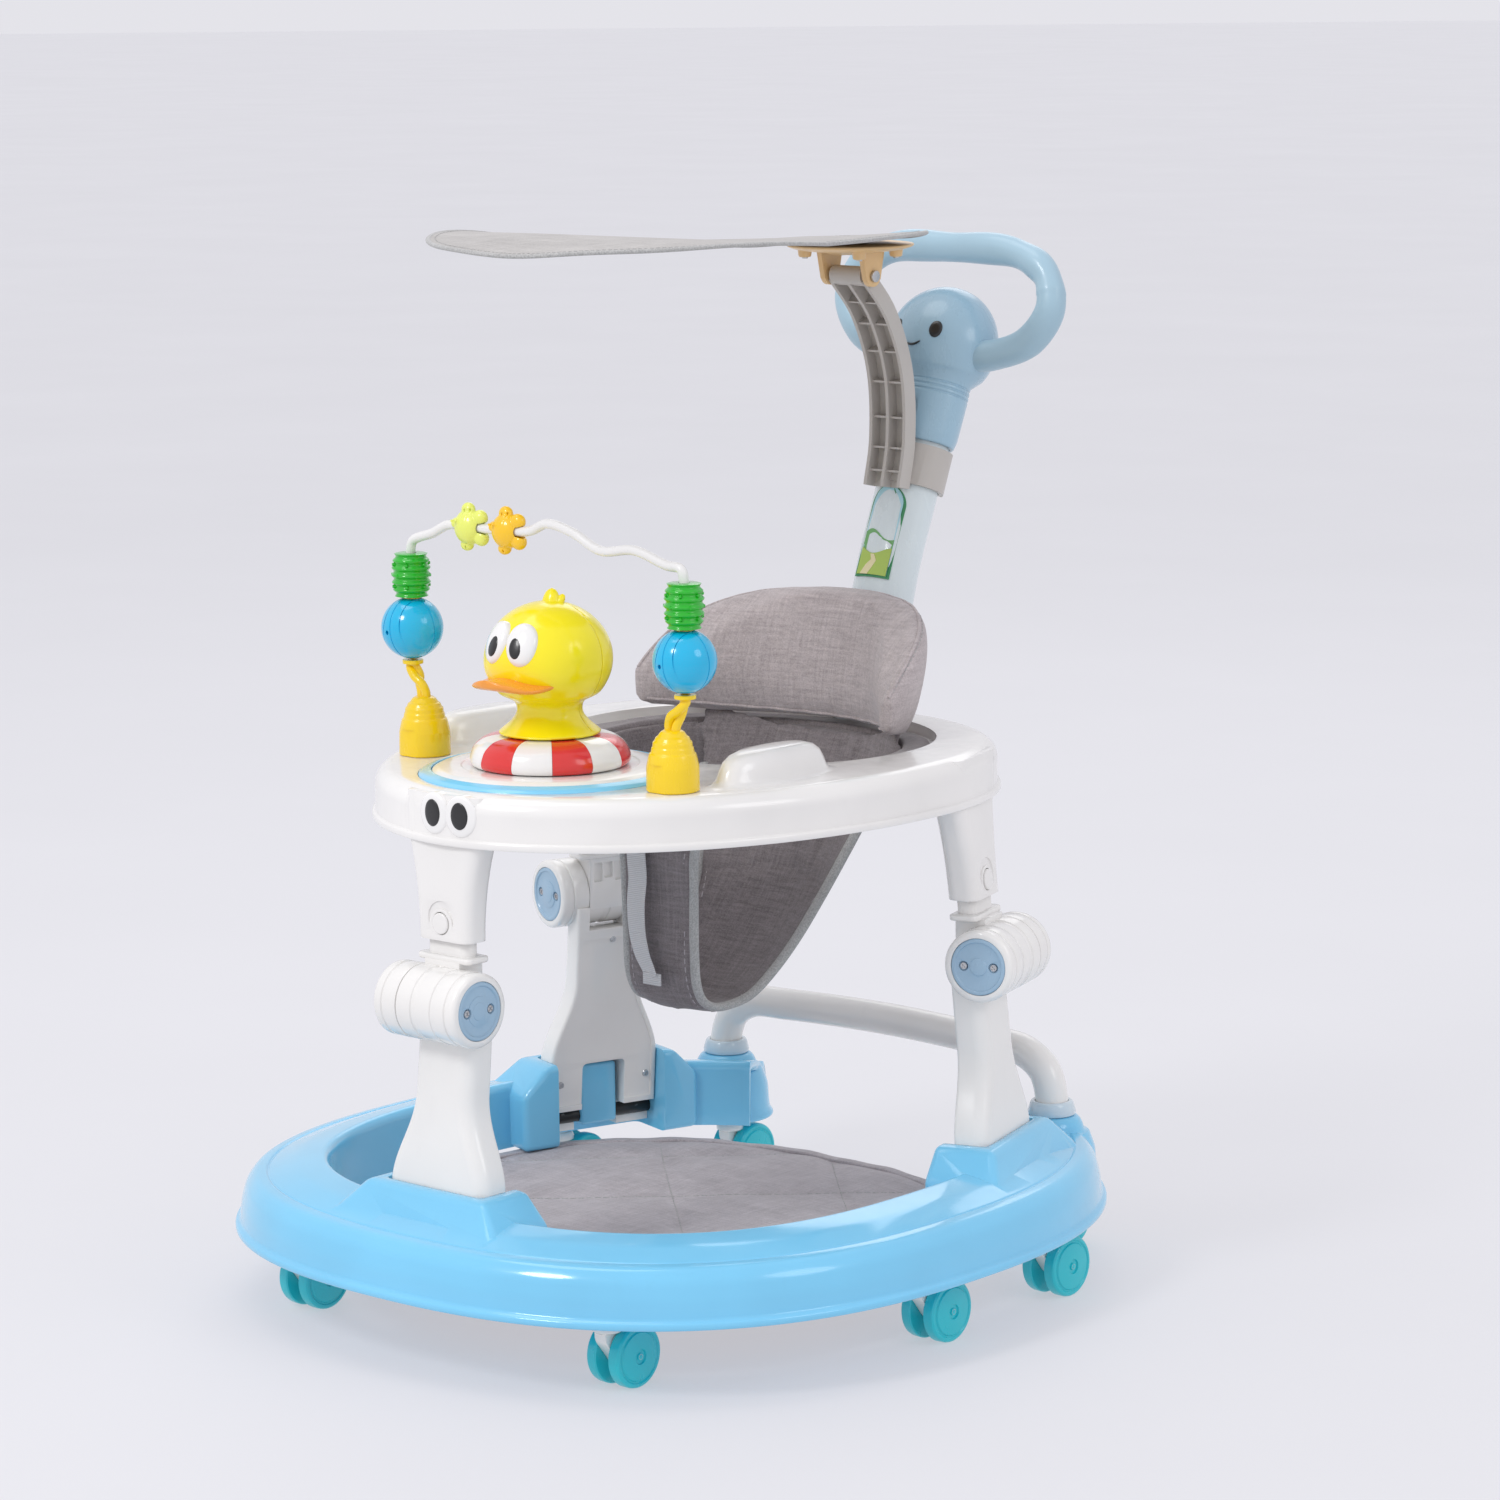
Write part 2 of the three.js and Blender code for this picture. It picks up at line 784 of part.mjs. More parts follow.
// The block above each sleeve, and the room in it for the top of the leg tube
function sleeveHanger(each) {
  const frame = legFrame(each);
  frame.updateMatrix();
  const back = each.slope * (tray.bottom - knee.z);
  const shifted = (outline, shift, z0, z1) =>
    moved(slab(outline, z0, z1), 0, -shift, 0).applyMatrix4(frame.matrix);
  const { width, flare, depth, corner, inward } = sleeve;
  return {
    block: shifted(roundedRectangle(width + flare, depth, corner), back + inward, tray.bottom, tray.top),
    room: shifted(
      roundedRectangle(tube.width + 8, tube.depth + 8, tube.corner),
      back,
      tray.bottom - 1,
      tube.top + leg.travel + 5,
    ),
  };
}

// An upright oval bar in the handle's leaning frame, from one distance along the axis to another
function handleShape(halfX, halfY, from, to) {
  return inHandleFrame(slab(ellipse(halfX, halfY, 20), from, to));
}

function inHandleFrame(geometry) {
  return geometry.rotateX(-radians(handle.lean)).translate(0, handle.y, handle.z);
}

add("tray", trayGeometry(), white);

// Duck insert

function insertBand() {
  const r = insert.bandRadius;
  const low = tray.top - 6 + gap;
  return moved(
    turned(
      [
        [0, low],
        [r, low],
        [r, tray.top + 1],
        [r - 2, tray.top + 3],
        [insert.plateRadius + 2 * gap, tray.top + 4],
        [insert.plateRadius + 2 * gap, tray.top - 1],
        [0, tray.top - 1],
      ],
      32,
    ),
    0,
    insert.y,
    0,
  );
}

function insertPlate() {
  const r = insert.plateRadius;
  const low = tray.top - 1 + gap;
  return moved(
    turned(
      [
        [0, low],
        [r, low],
        [r, insert.plateTop - 3],
        [r - 4, insert.plateTop - 0.5],
        [r - 12, insert.plateTop],
        [0, insert.plateTop],
      ],
      32,
    ),
    0,
    insert.y,
    0,
  );
}

function swimRing() {
  const low = insert.plateTop + gap;
  const r = insert.ringRadius;
  return moved(
    turned(
      [
        [0, low],
        [r, low],
        [r + 0.5, low + 6],
        [r - 3, low + 15],
        [r - 11, low + 22],
        [r - 20, low + 24],
        [0, low + 24],
      ],
      28,
    ),
    0,
    insert.y,
    0,
  );
}

const duckBottom = insert.plateTop + 24 + 2 * gap;

function duckBody() {
  const h = duck.headRadius;
  const z = duck.headZ;
  const low = duckBottom;
  const body = turned(
    [
      [0, low],
      [duck.skirtRadius, low],
      [duck.skirtRadius, low + 2],
      [duck.skirtRadius - 8, low + 8],
      [duck.neckRadius + 3, low + 17],
      [duck.neckRadius + 2, low + 24],
      [h * 0.72, z - h * 0.62],
      [h * 0.92, z - h * 0.34],
      [h, z - 4],
      [h * 0.95, z + h * 0.26],
      [h * 0.78, z + h * 0.54],
      [h * 0.5, z + h * 0.72],
      [h * 0.2, z + h * 0.8],
      [0, z + h * 0.84],
    ],
    18,
  );
  return cut(body, billPart(gap)).translate(0, insert.y, 0);
}

// A flat bill that curls out from the lower face
function billPart(grow) {
  const outline = points(
    [-36 - grow, -30 + grow],
    [-33 - grow, -44],
    [-20 - grow, -58],
    [-9, -74 - grow],
    [9, -74 - grow],
    [20 + grow, -58],
    [33 + grow, -44],
    [36 + grow, -30 + grow],
  );
  return bent(slab(outline, -6 - grow, 6 + grow), (p) => {
    p.z += duck.headZ - 22 + 0.0035 * p.y * p.y - 0.002 * p.x * p.x;
  });
}

add("insert_band", insertBand(), skyBlue);
add("insert_plate", insertPlate(), white);
add("swim_ring", swimRing(), red);
add("duck", duckBody(), yellow);
add("duck_bill", moved(billPart(0), 0, insert.y, 0), orange);

// Toy posts and wire

const stemFoot = toy.cupTop - 6;

function toyPost(side) {
  const low = tray.top + gap;
  const cup = turned(
    [
      [0, low],
      [21, low],
      [20.5, low + 18],
      [18, low + 30],
      [17, low + 31],
      [15, low + 42],
      [13, low + 43],
      [10, toy.cupTop - 2],
      [8, toy.cupTop],
      [0, toy.cupTop],
    ],
    14,
  );
  const reach = toy.ballX - toy.x;
  const stem = swept(
    ellipse(8, 5.5, 8),
    smoothCurve(
      [0, 0, stemFoot],
      [side * 1, 0, toy.cupTop + 6],
      [side * reach * 0.8, 1, toy.ballZ - toy.ballRadius - 12],
      [side * reach, 1, toy.ballZ - toy.ballRadius - 5],
    ),
    6,
  );
  return moved(join(cup, stem), side * toy.x, toy.y, 0);
}

function ballWithBore() {
  const r = toy.ballRadius;
  const bore = toy.wire + running;
  const start = Math.asin(bore / r);
  const profile = [];
  const steps = 7;
  for (let i = 0; i <= steps; i++) {
    const angle = start + ((Math.PI - 2 * start) * i) / steps;
    profile.push([r * Math.sin(angle), -r * Math.cos(angle)]);
  }
  profile.push(profile[0]);
  return turned(profile, 14);
}

function beadWithBore() {
  const bore = toy.wire + running;
  const half = toy.beadHalf;
  const profile = [[bore, -half]];
  const ribs = 8;
  for (let i = 0; i <= ribs; i++) {
    const z = -half + (2 * half * i) / ribs;
    const barrel = 11 + 4 * Math.cos((z / half) * 1.25);
    profile.push([barrel + (i % 2 ? 0.9 : -0.9), z]);
  }
  profile.push([bore, half], [bore, -half]);
  return turned(profile, 12);
}

const wireY = toy.y + 1;
const figureZ = toy.beadZ + 44;
const wireFoot = toy.ballZ - toy.ballRadius + 1.5;

// Straight through the ball and the bead, straight again under the figures, wavy between
function toyWirePath() {
  const x = toy.ballX;
  const top = toy.beadZ + 24;
  return smoothCurve(
    [-x, wireY, wireFoot],
    [-x, wireY, toy.ballZ],
    [-x, wireY, toy.beadZ],
    [-x, wireY, top - 4],
    [-x + 3, wireY, top + 4],
    [-x + 26, wireY, figureZ - 8],
    [-106, wireY, figureZ],
    [-82, wireY, figureZ],
    [-60, wireY, figureZ],
    [-38, wireY, figureZ],
    [-14, wireY, figureZ + 2],
    [4, wireY, figureZ + 9],
    [32, wireY, figureZ + 4],
    [62, wireY, figureZ - 8],
    [98, wireY, figureZ - 5],
    [x - 18, wireY, figureZ - 14],
    [x - 3, wireY, top + 4],
    [x, wireY, top - 4],
    [x, wireY, toy.beadZ],
    [x, wireY, toy.ballZ],
    [x, wireY, wireFoot],
  );
}

function wireFigure() {
  const body = new THREE.SphereGeometry(15, 10, 7).scale(1, 0.75, 1);
  const fins = [
    moved(new THREE.SphereGeometry(7, 6, 5), 0, 0, 14),
    moved(new THREE.SphereGeometry(7.5, 6, 5), 13, 0, 7),
    moved(new THREE.SphereGeometry(7.5, 6, 5), 13, 0, -8),
  ];
  return cut(join(body, ...fins), sideCylinder(toy.wire + 2 * running, -30, 30, 8));
}

add("toy_wire", swept(ellipse(toy.wire, toy.wire, 6), toyWirePath(), 46), white);
for (const [side, sideName] of [
  [1, "left"],
  [-1, "right"],
]) {
  add("toy_post_" + sideName, toyPost(side), yellow);
  const ball = add("toy_ball_" + sideName, ballWithBore(), ballBlue);
  ball.position.set(side * toy.ballX, wireY, toy.ballZ);
  const bead = add("toy_bead_" + sideName, beadWithBore(), green);
  bead.position.set(side * toy.ballX, wireY, toy.beadZ);
}
const figures = [
  { name: "wire_figure_right", x: -82, material: paleYellow },
  { name: "wire_figure_left", x: -40, material: yellow },
];
for (const { name, x, material } of figures) {
  add(name, wireFigure(), material).position.set(x, wireY, figureZ);
}

// Seat

class ArcCurve extends THREE.Curve {
  constructor(radius, centreY, from, to) {
    super();
    Object.assign(this, { radius, centreY, from, to });
  }
  getPoint(t, target = new THREE.Vector3()) {
    const angle = radians(this.from + (this.to - this.from) * t);
    return target.set(this.radius * Math.cos(angle), this.centreY + this.radius * Math.sin(angle), 0);
  }
}

// The back cushion wraps round the rear of the seat; it is tallest at the back and runs out to two tips
function backCushion() {
  const middle = cushion.radius - cushion.thick / 2;
  const section = ellipse(0.5, cushion.thick / 2, 10);
  const arc = swept(section, new ArcCurve(middle, cushion.centreY, 4, 176), 20);
  return bent(arc, (p) => {
    const angle = Math.atan2(p.y - cushion.centreY, p.x);
    const share = Math.min(angle, Math.PI - angle) / (Math.PI / 2);
    const swell = 1 - (1 - share) ** 3;
    const low = cushion.tipZ - 6 - (cushion.tipZ - 6 - cushion.bottom) * swell;
    const high = cushion.tipZ + (cushion.top - cushion.tipZ) * swell;
    const radius = Math.hypot(p.x, p.y - cushion.centreY);
    const thin = 0.35 + 0.65 * Math.min(share * 3, 1);
    const upright = 1 - (p.z + 0.5);
    const r = middle + (radius - middle) * thin - cushion.recline * swell * upright;
    p.x = r * Math.cos(angle);
    p.y = cushion.centreY + r * Math.sin(angle);
    p.z = low + (high - low) * (p.z + 0.5);
  });
}

// The sling: a bag open at the top. Its front panel hangs straight, its back slants up, and each side
// is open for a leg.
function seatSling() {
  const r = sling.radius;
  const top = tray.bottom + 30;
  const bottom = top - sling.depth;
  const w = sling.wall;
  const levels = [0.02, 0.1, 0.25, 0.45, 0.7, 1];
  const outer = levels.map((share) => [r * share ** 0.2, bottom + share * sling.depth]);
  const inner = outer.map(([radius, z]) => [radius - w, z + (z < top ? w : 0)]).reverse();
  const bag = turned([[0, bottom], ...outer, ...inner, [0, bottom + w]], 20);
  const middle = seatHole.centreY + (seatHole.rear - seatHole.front) / 2;
  const depth = (seatHole.front + seatHole.rear) / 2 - sling.clear;
  const shaped = bent(bag, (p) => {
    const up = (p.z - bottom) / sling.depth;
    const back = p.y > 0 ? 0.3 + 0.7 * up : 0.9 + 0.1 * up;
    const side = 0.62 + 0.38 * up;
    p.x *= side;
    p.y *= (back * depth) / r;
  });
  const hole = points(
    [-depth + 62, top - 40],
    [-depth + 58, bottom + 66],
    [-depth + 78, bottom + 40],
    [-8, bottom + 34],
    [22, bottom + 62],
    [depth - 32, top - 40],
  );
  return cut(shaped, sideSlab(hole, 400)).translate(0, middle, 0);
}

add("back_cushion", backCushion(), fabric);
add("seat_sling", seatSling(), fabric);

// Push handle

function handleTube() {
  const along = (distance) => {
    const lean = radians(handle.lean);
    return [0, handle.y + distance * Math.sin(lean), handle.z + distance * Math.cos(lean)];
  };
  const foot = [0, handle.footY, tray.bottom + 2];
  const path = smoothCurve(
    foot,
    [0, handle.footY + 2, tray.top],
    [0, handle.y - 9, handle.z - 40],
    along(20),
    along(70),
    along(125),
    along(handle.tubeTop),
  );
  return swept(ellipse(handle.halfWidth, handle.halfDepth, 18), path, 10);
}

function handleHead() {
  const low = head.neckBottom;
  const ball = [-40, -18, 4, 24, 44, 64].map((angle) => [
    head.radius * Math.cos(radians(angle)),
    head.along + head.radius * Math.sin(radians(angle)),
  ]);
  const pear = turned(
    [
      [0, low],
      [head.neckHalf, low],
      [head.neckHalf + 1.5, low + 12],
      [head.neckHalf + 1.5, low + 44],
      ...ball,
      [0, head.along + head.radius],
    ],
    20,
  );
  const flat = bent(pear, (p) => {
    const up = Math.min(Math.max((p.z - low) / (head.along - low), 0), 1);
    const depth = (handle.halfDepth + 4) / head.neckHalf;
    p.y *= depth + up * (head.depth / head.radius - depth);
  });
  const w = loop.halfWidth;
  const a = head.along;
  const side = [
    [head.radius - 14, 0, a - 8],
    [head.radius + 8, 0, a - 6],
    [w - 18, 0, a + 8],
    [w, 0, a + 36],
    [w - 9, 0, a + 64],
    [w - 42, 0, a + loop.top - 3],
  ];
  const mirrored = side.map(([x, y, z]) => [-x, y, z]).reverse();
  const path = smoothCurve(...side, [0, 0, a + loop.top], ...mirrored);
  const grip = bent(swept(ellipse(loop.radius, loop.radius, 8), path, 22), (p) => {
    p.y -= Math.max(p.z - a, 0) * Math.tan(radians(loop.tilt));
  });
  const socket = slab(
    ellipse(handle.halfWidth + running, handle.halfDepth + running, 20),
    low - 10,
    handle.tubeTop + 2,
  );
  const hole = new THREE.CylinderGeometry(7 + running, 7 + running, 60, 20).translate(0, -30, low + 26);
  return inHandleFrame(cut(join(flat, grip), socket, hole));
}

function releaseButton() {
  const low = head.neckBottom;
  return inHandleFrame(
    new THREE.CylinderGeometry(7, 7, 5, 20).translate(0, -(handle.halfDepth + running + 3.4), low + 26),
  );
}

add("handle_tube", handleTube(), paleBlue);
add("handle_head", handleHead(), mutedBlue);
add("release_button", releaseButton(), warmGrey);

// Canopy

function canopyArm() {
  const grow = arm.collarWall;
  const outside = slab(
    ellipse(handle.halfWidth + running + grow, handle.halfDepth + running + grow, 20),
    arm.collarBottom,
    arm.collarTop,
  );
  const inside = slab(
    ellipse(handle.halfWidth + running, handle.halfDepth + running, 20),
    arm.collarBottom - 5,
    arm.collarTop + 5,
  );
  const mouth = box(-22, 22, 5, 60, arm.collarBottom - 5, arm.collarTop + 5);
  const collar = inHandleFrame(cut(outside, inside, mouth));
  const top = [arm.pivotY, arm.pivotZ];
  const path = smoothCurve(
    [0, 256, 640],
    [0, 264, 680],
    [0, 261, 740],
    [0, 240, 790],
    [0, ...top],
  );
  const half = arm.width / 2;
  const beam = swept(
    points(
      [-half, -7],
      [half, -7],
      [half, 7],
      [half - 3.5, 7],
      [half - 3.5, -3],
      [1.8, -3],
      [1.8, 7],
      [-1.8, 7],
      [-1.8, -3],
      [3.5 - half, -3],
      [3.5 - half, 7],
      [-half, 7],
    ),
    path,
    9,
  );
  const knuckle = sideCylinder(8, -half + 3, half - 3, 20).translate(0, ...top);
  const bore = sideCylinder(arm.pin + running / 2, -60, 60, 12).translate(0, ...top);
  const tubeRoom = handleShape(handle.halfWidth + running, handle.halfDepth + running, 0, 200);
  return cut(join(beam, collar, knuckle), tubeRoom, bore);
}

function canopyBracket() {
  const r = canopy.plateRadius;
  const plate = moved(
    turned(
      [
        [0, canopy.z - 11],
        [18, canopy.z - 11],
        [r - 8, canopy.z - 7],
        [r, canopy.z - 4],
        [r, canopy.z - 2.5],
        [0, canopy.z - 2.5],
      ],
      28,
    ),
    0,
    arm.pivotY,
    0,
  );
  const inner = arm.width / 2 + running;
  const ears = [-1, 1].map((side) =>
    moved(
      sideSlab(points([-9, -8], [9, -8], [14, 20], [-14, 20]), arm.ear),
      side * (inner + arm.ear / 2),
      arm.pivotY,
      arm.pivotZ,
    ),
  );
  const bore = sideCylinder(arm.pin + gap, -60, 60, 12).translate(0, arm.pivotY, arm.pivotZ);
  return cut(join(plate, ...ears), bore);
}

function canopyPin() {
  const end = arm.width / 2 + running + arm.ear;
  const shaft = sideCylinder(arm.pin, -end - 1, end + 1, 10);
  const headDisc = sideCylinder(5, end + gap, end + 3, 12);
  return join(shaft, headDisc).translate(0, arm.pivotY, arm.pivotZ);
}

function canopySheet() {
  const disc = new THREE.CylinderGeometry(1, 1, canopy.thick, 40, 1).rotateX(Math.PI / 2);
  return bent(disc, (p) => {
    p.x *= canopy.halfWidth;
    p.y = canopy.centreY + p.y * canopy.halfLength;
    p.z += canopy.z + canopy.thick / 2 + canopy.rise * (arm.pivotY - p.y);
  });
}

add("canopy_arm", canopyArm(), warmGrey);
add("canopy_bracket", canopyBracket(), sand);
add("canopy_pin", canopyPin(), steel);
add("canopy", canopySheet(), fabric);

// The origin is on the floor, under the middle of the whole walker
const extent = new THREE.Box3().setFromObject(walker);
const middle = extent.getCenter(new THREE.Vector3());
walker.position.set(-middle.x, -middle.y, -extent.min.z);

export default walker;
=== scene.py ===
import math

import bmesh
import bpy
from mathutils import Matrix, Vector


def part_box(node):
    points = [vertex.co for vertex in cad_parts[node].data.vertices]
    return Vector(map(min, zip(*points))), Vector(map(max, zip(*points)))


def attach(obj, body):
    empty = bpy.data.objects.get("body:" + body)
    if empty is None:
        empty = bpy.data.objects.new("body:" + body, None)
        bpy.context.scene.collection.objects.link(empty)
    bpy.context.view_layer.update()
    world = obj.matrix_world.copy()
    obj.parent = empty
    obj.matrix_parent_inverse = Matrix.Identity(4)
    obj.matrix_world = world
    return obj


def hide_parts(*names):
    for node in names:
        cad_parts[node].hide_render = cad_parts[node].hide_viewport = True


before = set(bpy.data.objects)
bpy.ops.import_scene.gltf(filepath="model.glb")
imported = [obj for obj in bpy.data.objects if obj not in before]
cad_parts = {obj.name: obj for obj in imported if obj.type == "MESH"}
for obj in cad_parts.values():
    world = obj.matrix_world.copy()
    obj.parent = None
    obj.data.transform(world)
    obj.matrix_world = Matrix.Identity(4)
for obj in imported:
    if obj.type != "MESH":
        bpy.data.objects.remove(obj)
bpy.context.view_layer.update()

duckMiddleY = -165.0
ringLow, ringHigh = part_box("swim_ring")
# the maker's frame sits this far behind the origin
shiftY = (ringLow.y + ringHigh.y) / 2 - duckMiddleY / 1000


# Camera, floor and light

camera = {
    "place": (2.6927752, -2.9714214, 1.1244831),
    "azimuth": 41.46161,
    "elevation": 9.62291,
    "roll": -0.52335,
    "lens": 118.1916,
    "sensor": 36.0,
}


def makeCamera():
    az = math.radians(camera["azimuth"])
    el = math.radians(camera["elevation"])
    roll = math.radians(camera["roll"])
    ahead = Vector((-math.sin(az) * math.cos(el), math.cos(az) * math.cos(el), -math.sin(el)))
    right = Vector((math.cos(az), math.sin(az), 0))
    up = right.cross(ahead)
    side = right * math.cos(roll) + up * math.sin(roll)
    top = up * math.cos(roll) - right * math.sin(roll)
    data = bpy.data.cameras.new("camera")
    data.lens = camera["lens"]
    data.sensor_width = camera["sensor"]
    data.clip_end = 50
    view = bpy.data.objects.new("camera", data)
    turn = Matrix((side, top, -ahead)).transposed().to_4x4()
    view.matrix_world = Matrix.Translation(Vector(camera["place"]) + Vector((0, shiftY, 0))) @ turn
    bpy.context.scene.collection.objects.link(view)
    bpy.context.scene.camera = view


studio = {
    "floorSize": 120.0,
    "floorColor": (0.30, 0.30, 0.31, 1),
    "floorGlow": 0.47,
    "worldColor": (0.95, 0.945, 1.0, 1),
    "worldStrength": 0.82,
    "viewTransform": "Standard",
    "lamps": [
        # name, place, size, power
        ("keySoftbox", (-0.3, -2.7, 2.6), 0.9, 34),
        ("sideSoftbox", (3.0, 0.2, 2.2), 1.4, 11),
        ("backSoftbox", (-1.6, 2.6, 2.6), 2.2, 12),
        ("topSoftbox", (-0.8, -0.4, 3.4), 1.8, 14),
    ],
    "aim": (0.0, 0.0, 0.35),
}


def makeStudio():
    world = bpy.data.worlds.new("studioWorld")
    world.use_nodes = True
    back = world.node_tree.nodes["Background"]
    back.inputs["Color"].default_value = studio["worldColor"]
    back.inputs["Strength"].default_value = studio["worldStrength"]
    bpy.context.scene.world = world
    bpy.context.scene.view_settings.view_transform = studio["viewTransform"]
    half = studio["floorSize"] / 2
    mesh = bpy.data.meshes.new("floor")
    corners = [(-half, -half, 0), (half, -half, 0), (half, half, 0), (-half, half, 0)]
    mesh.from_pydata(corners, [], [(0, 1, 2, 3)])
    floor = bpy.data.objects.new("floor", mesh)
    bpy.context.scene.collection.objects.link(floor)
    mesh.materials.append(floorPaint())
    for name, place, size, power in studio["lamps"]:
        data = bpy.data.lights.new(name, "AREA")
        data.shape = "DISK"
        data.size = size
        data.energy = power
        lamp = bpy.data.objects.new(name, data)
        lamp.location = place
        lamp.rotation_euler = (Vector(studio["aim"]) - Vector(place)).to_track_quat("-Z", "Y").to_euler()
        bpy.context.scene.collection.objects.link(lamp)


# Finishes


# A material with its node tree at hand
class Paint:
    def __init__(self, name):
        self.material = bpy.data.materials.new(name)
        self.material.use_nodes = True
        self.nodes = self.material.node_tree.nodes
        self.links = self.material.node_tree.links
        self.shader = self.nodes["Principled BSDF"]
        self.coords = self.nodes.new("ShaderNodeTexCoord").outputs["Object"]

    def set(self, **values):
        for key, value in values.items():
            self.shader.inputs[key.replace("_", " ")].default_value = value

    def node(self, kind, inputs=None, **settings):
        made = self.nodes.new("ShaderNode" + kind)
        for key, value in settings.items():
            setattr(made, key, value)
        for key, value in (inputs or {}).items():
            socket = made.inputs[key]
            if isinstance(value, bpy.types.NodeSocket):
                self.links.new(value, socket)
            else:
                socket.default_value = value
        return made

    def noise(self, scale, detail=3.0, stretch=(1, 1, 1), rough=0.55):
        mapped = self.node("Mapping", {"Vector": self.coords, "Scale": stretch}).outputs["Vector"]
        made = self.node(
            "TexNoise", {"Vector": mapped, "Scale": scale, "Detail": detail, "Roughness": rough}
        )
        return made.outputs["Fac"]

    def remap(self, value, low, high, fromLow=0.3, fromHigh=0.7):
        made = self.node(
            "MapRange",
            {"Value": value, "From Min": fromLow, "From Max": fromHigh, "To Min": low, "To Max": high},
        )
        return made.outputs["Result"]

    def mixColor(self, share, a, b, blend="MIX"):
        made = self.node("Mix", data_type="RGBA", blend_type=blend)
        for index, value in ((0, share), (6, a), (7, b)):
            if isinstance(value, bpy.types.NodeSocket):
                self.links.new(value, made.inputs[index])
            else:
                made.inputs[index].default_value = value
        return made.outputs[2]

    def math(self, operation, a, b=0.0):
        made = self.node("Math", operation=operation)
        for index, value in ((0, a), (1, b)):
            if isinstance(value, bpy.types.NodeSocket):
                self.links.new(value, made.inputs[index])
            else:
                made.inputs[index].default_value = value
        return made.outputs[0]

    def link(self, output, socket):
        self.links.new(output, self.shader.inputs[socket])

    def bump(self, height, strength, distance):
        made = self.node("Bump", {"Height": height, "Strength": strength, "Distance": distance})
        self.link(made.outputs["Normal"], "Normal")


def shade(color, factor):
    return tuple(min(1.0, c * factor) for c in color[:3]) + (1,)


# Injection-moulded plastic: faint cloudy colour, scuffs in the gloss, a very fine skin texture
def mouldedPlastic(name, color, roughness=0.24, coat=0.3, grain=0.02, grainScale=900, through=0.0):
    paint = Paint(name)
    cloud = paint.noise(9, 2)
    fine = paint.noise(grainScale, 2)
    scuff = paint.noise(70, 4, (1, 1, 0.35))
    tone = paint.mixColor(paint.remap(cloud, 0, 1), shade(color, 0.955), shade(color, 1.03))
    tone = paint.mixColor(paint.remap(scuff, 0, 0.3, 0.6, 0.8), tone, shade(color, 0.92))
    paint.link(tone, "Base Color")
    paint.link(paint.remap(scuff, roughness * 0.85, roughness * 1.35), "Roughness")
    height = paint.math("ADD", fine, paint.math("MULTIPLY", cloud, 2.0))
    paint.bump(height, 0.35, grain / 1000)
    paint.set(Coat_Weight=coat, Coat_Roughness=0.08, IOR=1.5, Subsurface_Weight=through)
    if through:
        paint.set(Subsurface_Radius=(0.004, 0.004, 0.004), Subsurface_Scale=1.0)
    return paint.material


def floorPaint():
    paint = Paint("studioFloor")
    tone = paint.mixColor(
        paint.remap(paint.noise(0.8, 2), 0, 1), studio["floorColor"], shade(studio["floorColor"], 1.03)
    )
    paint.link(tone, "Base Color")
    paint.link(paint.remap(paint.noise(2.0, 3), 0.75, 0.9), "Roughness")
    paint.set(Emission_Color=studio["worldColor"], Emission_Strength=studio["floorGlow"])
    return paint.material


# Chambray: dark and light threads crossing, uneven along their length
def wovenCloth(name, dark, light, thread=0.00055, slub=0.7, roughness=0.9, sheen=0.25, relief=0.5):
    paint = Paint(name)
    streaks = []
    for stretch in ((1, 0.07, 0.07), (0.07, 1, 1), (0.07, 0.07, 1)):
        streaks.append(paint.noise(0.22 / thread, 2, stretch, 0.7))
    streak = paint.math("ADD", paint.math("ADD", streaks[0], streaks[1]), streaks[2])
    streak = paint.math("DIVIDE", streak, 3.0)
    share = paint.math(
        "ADD", paint.math("MULTIPLY", streak, slub),
        paint.math("MULTIPLY", paint.noise(0.5 / thread, 1), 1 - slub)
    )
    tone = paint.mixColor(paint.remap(share, 0, 1, 0.38, 0.62), dark, light)
    worn = paint.remap(paint.noise(6, 3), 0, 0.22, 0.4, 0.75)
    paint.link(paint.mixColor(worn, tone, shade(light, 1.05)), "Base Color")
    paint.link(paint.remap(streak, roughness * 0.95, min(1, roughness * 1.08)), "Roughness")
    crumple = paint.noise(34, 3)
    height = paint.math(
        "ADD", paint.math("MULTIPLY", streak, relief), paint.math("MULTIPLY", crumple, 1.6)
    )
    paint.bump(height, 0.5, 0.0011)
    paint.set(Sheen_Weight=sheen, Sheen_Roughness=0.5, Specular_IOR_Level=0.25)
    return paint.material


# Flat woven strap with a rib across it every 1.6 mm
def ribbedWebbing(name, color, axis="Z"):
    paint = Paint(name)
    wave = paint.node(
        "TexWave",
        {"Vector": paint.coords, "Scale": 196.0, "Distortion": 0.4, "Detail": 2.0, "Detail Scale": 3.0},
        bands_direction=axis,
    ).outputs["Fac"]
    fine = paint.noise(1500, 2)
    # the valleys between the ribs are coloured darker to stand in for their shade: painted shade
    paint.link(paint.mixColor(wave, shade(color, 0.78), color), "Base Color")
    paint.link(paint.remap(fine, 0.75, 0.9), "Roughness")
    paint.bump(paint.math("ADD", wave, paint.math("MULTIPLY", fine, 0.3)), 0.6, 0.0005)
    paint.set(Sheen_Weight=0.2)
    return paint.material


def turnedSteel(name, color=(0.62, 0.62, 0.63, 1), roughness=0.3):
    paint = Paint(name)
    grain = paint.noise(420, 3, (1, 1, 12))
    paint.link(paint.mixColor(paint.remap(grain, 0, 1), shade(color, 0.8), color), "Base Color")
    paint.link(paint.remap(grain, roughness * 0.8, roughness * 1.4), "Roughness")
    paint.bump(grain, 0.2, 0.0001)
    paint.set(Metallic=1.0)
    return paint.material


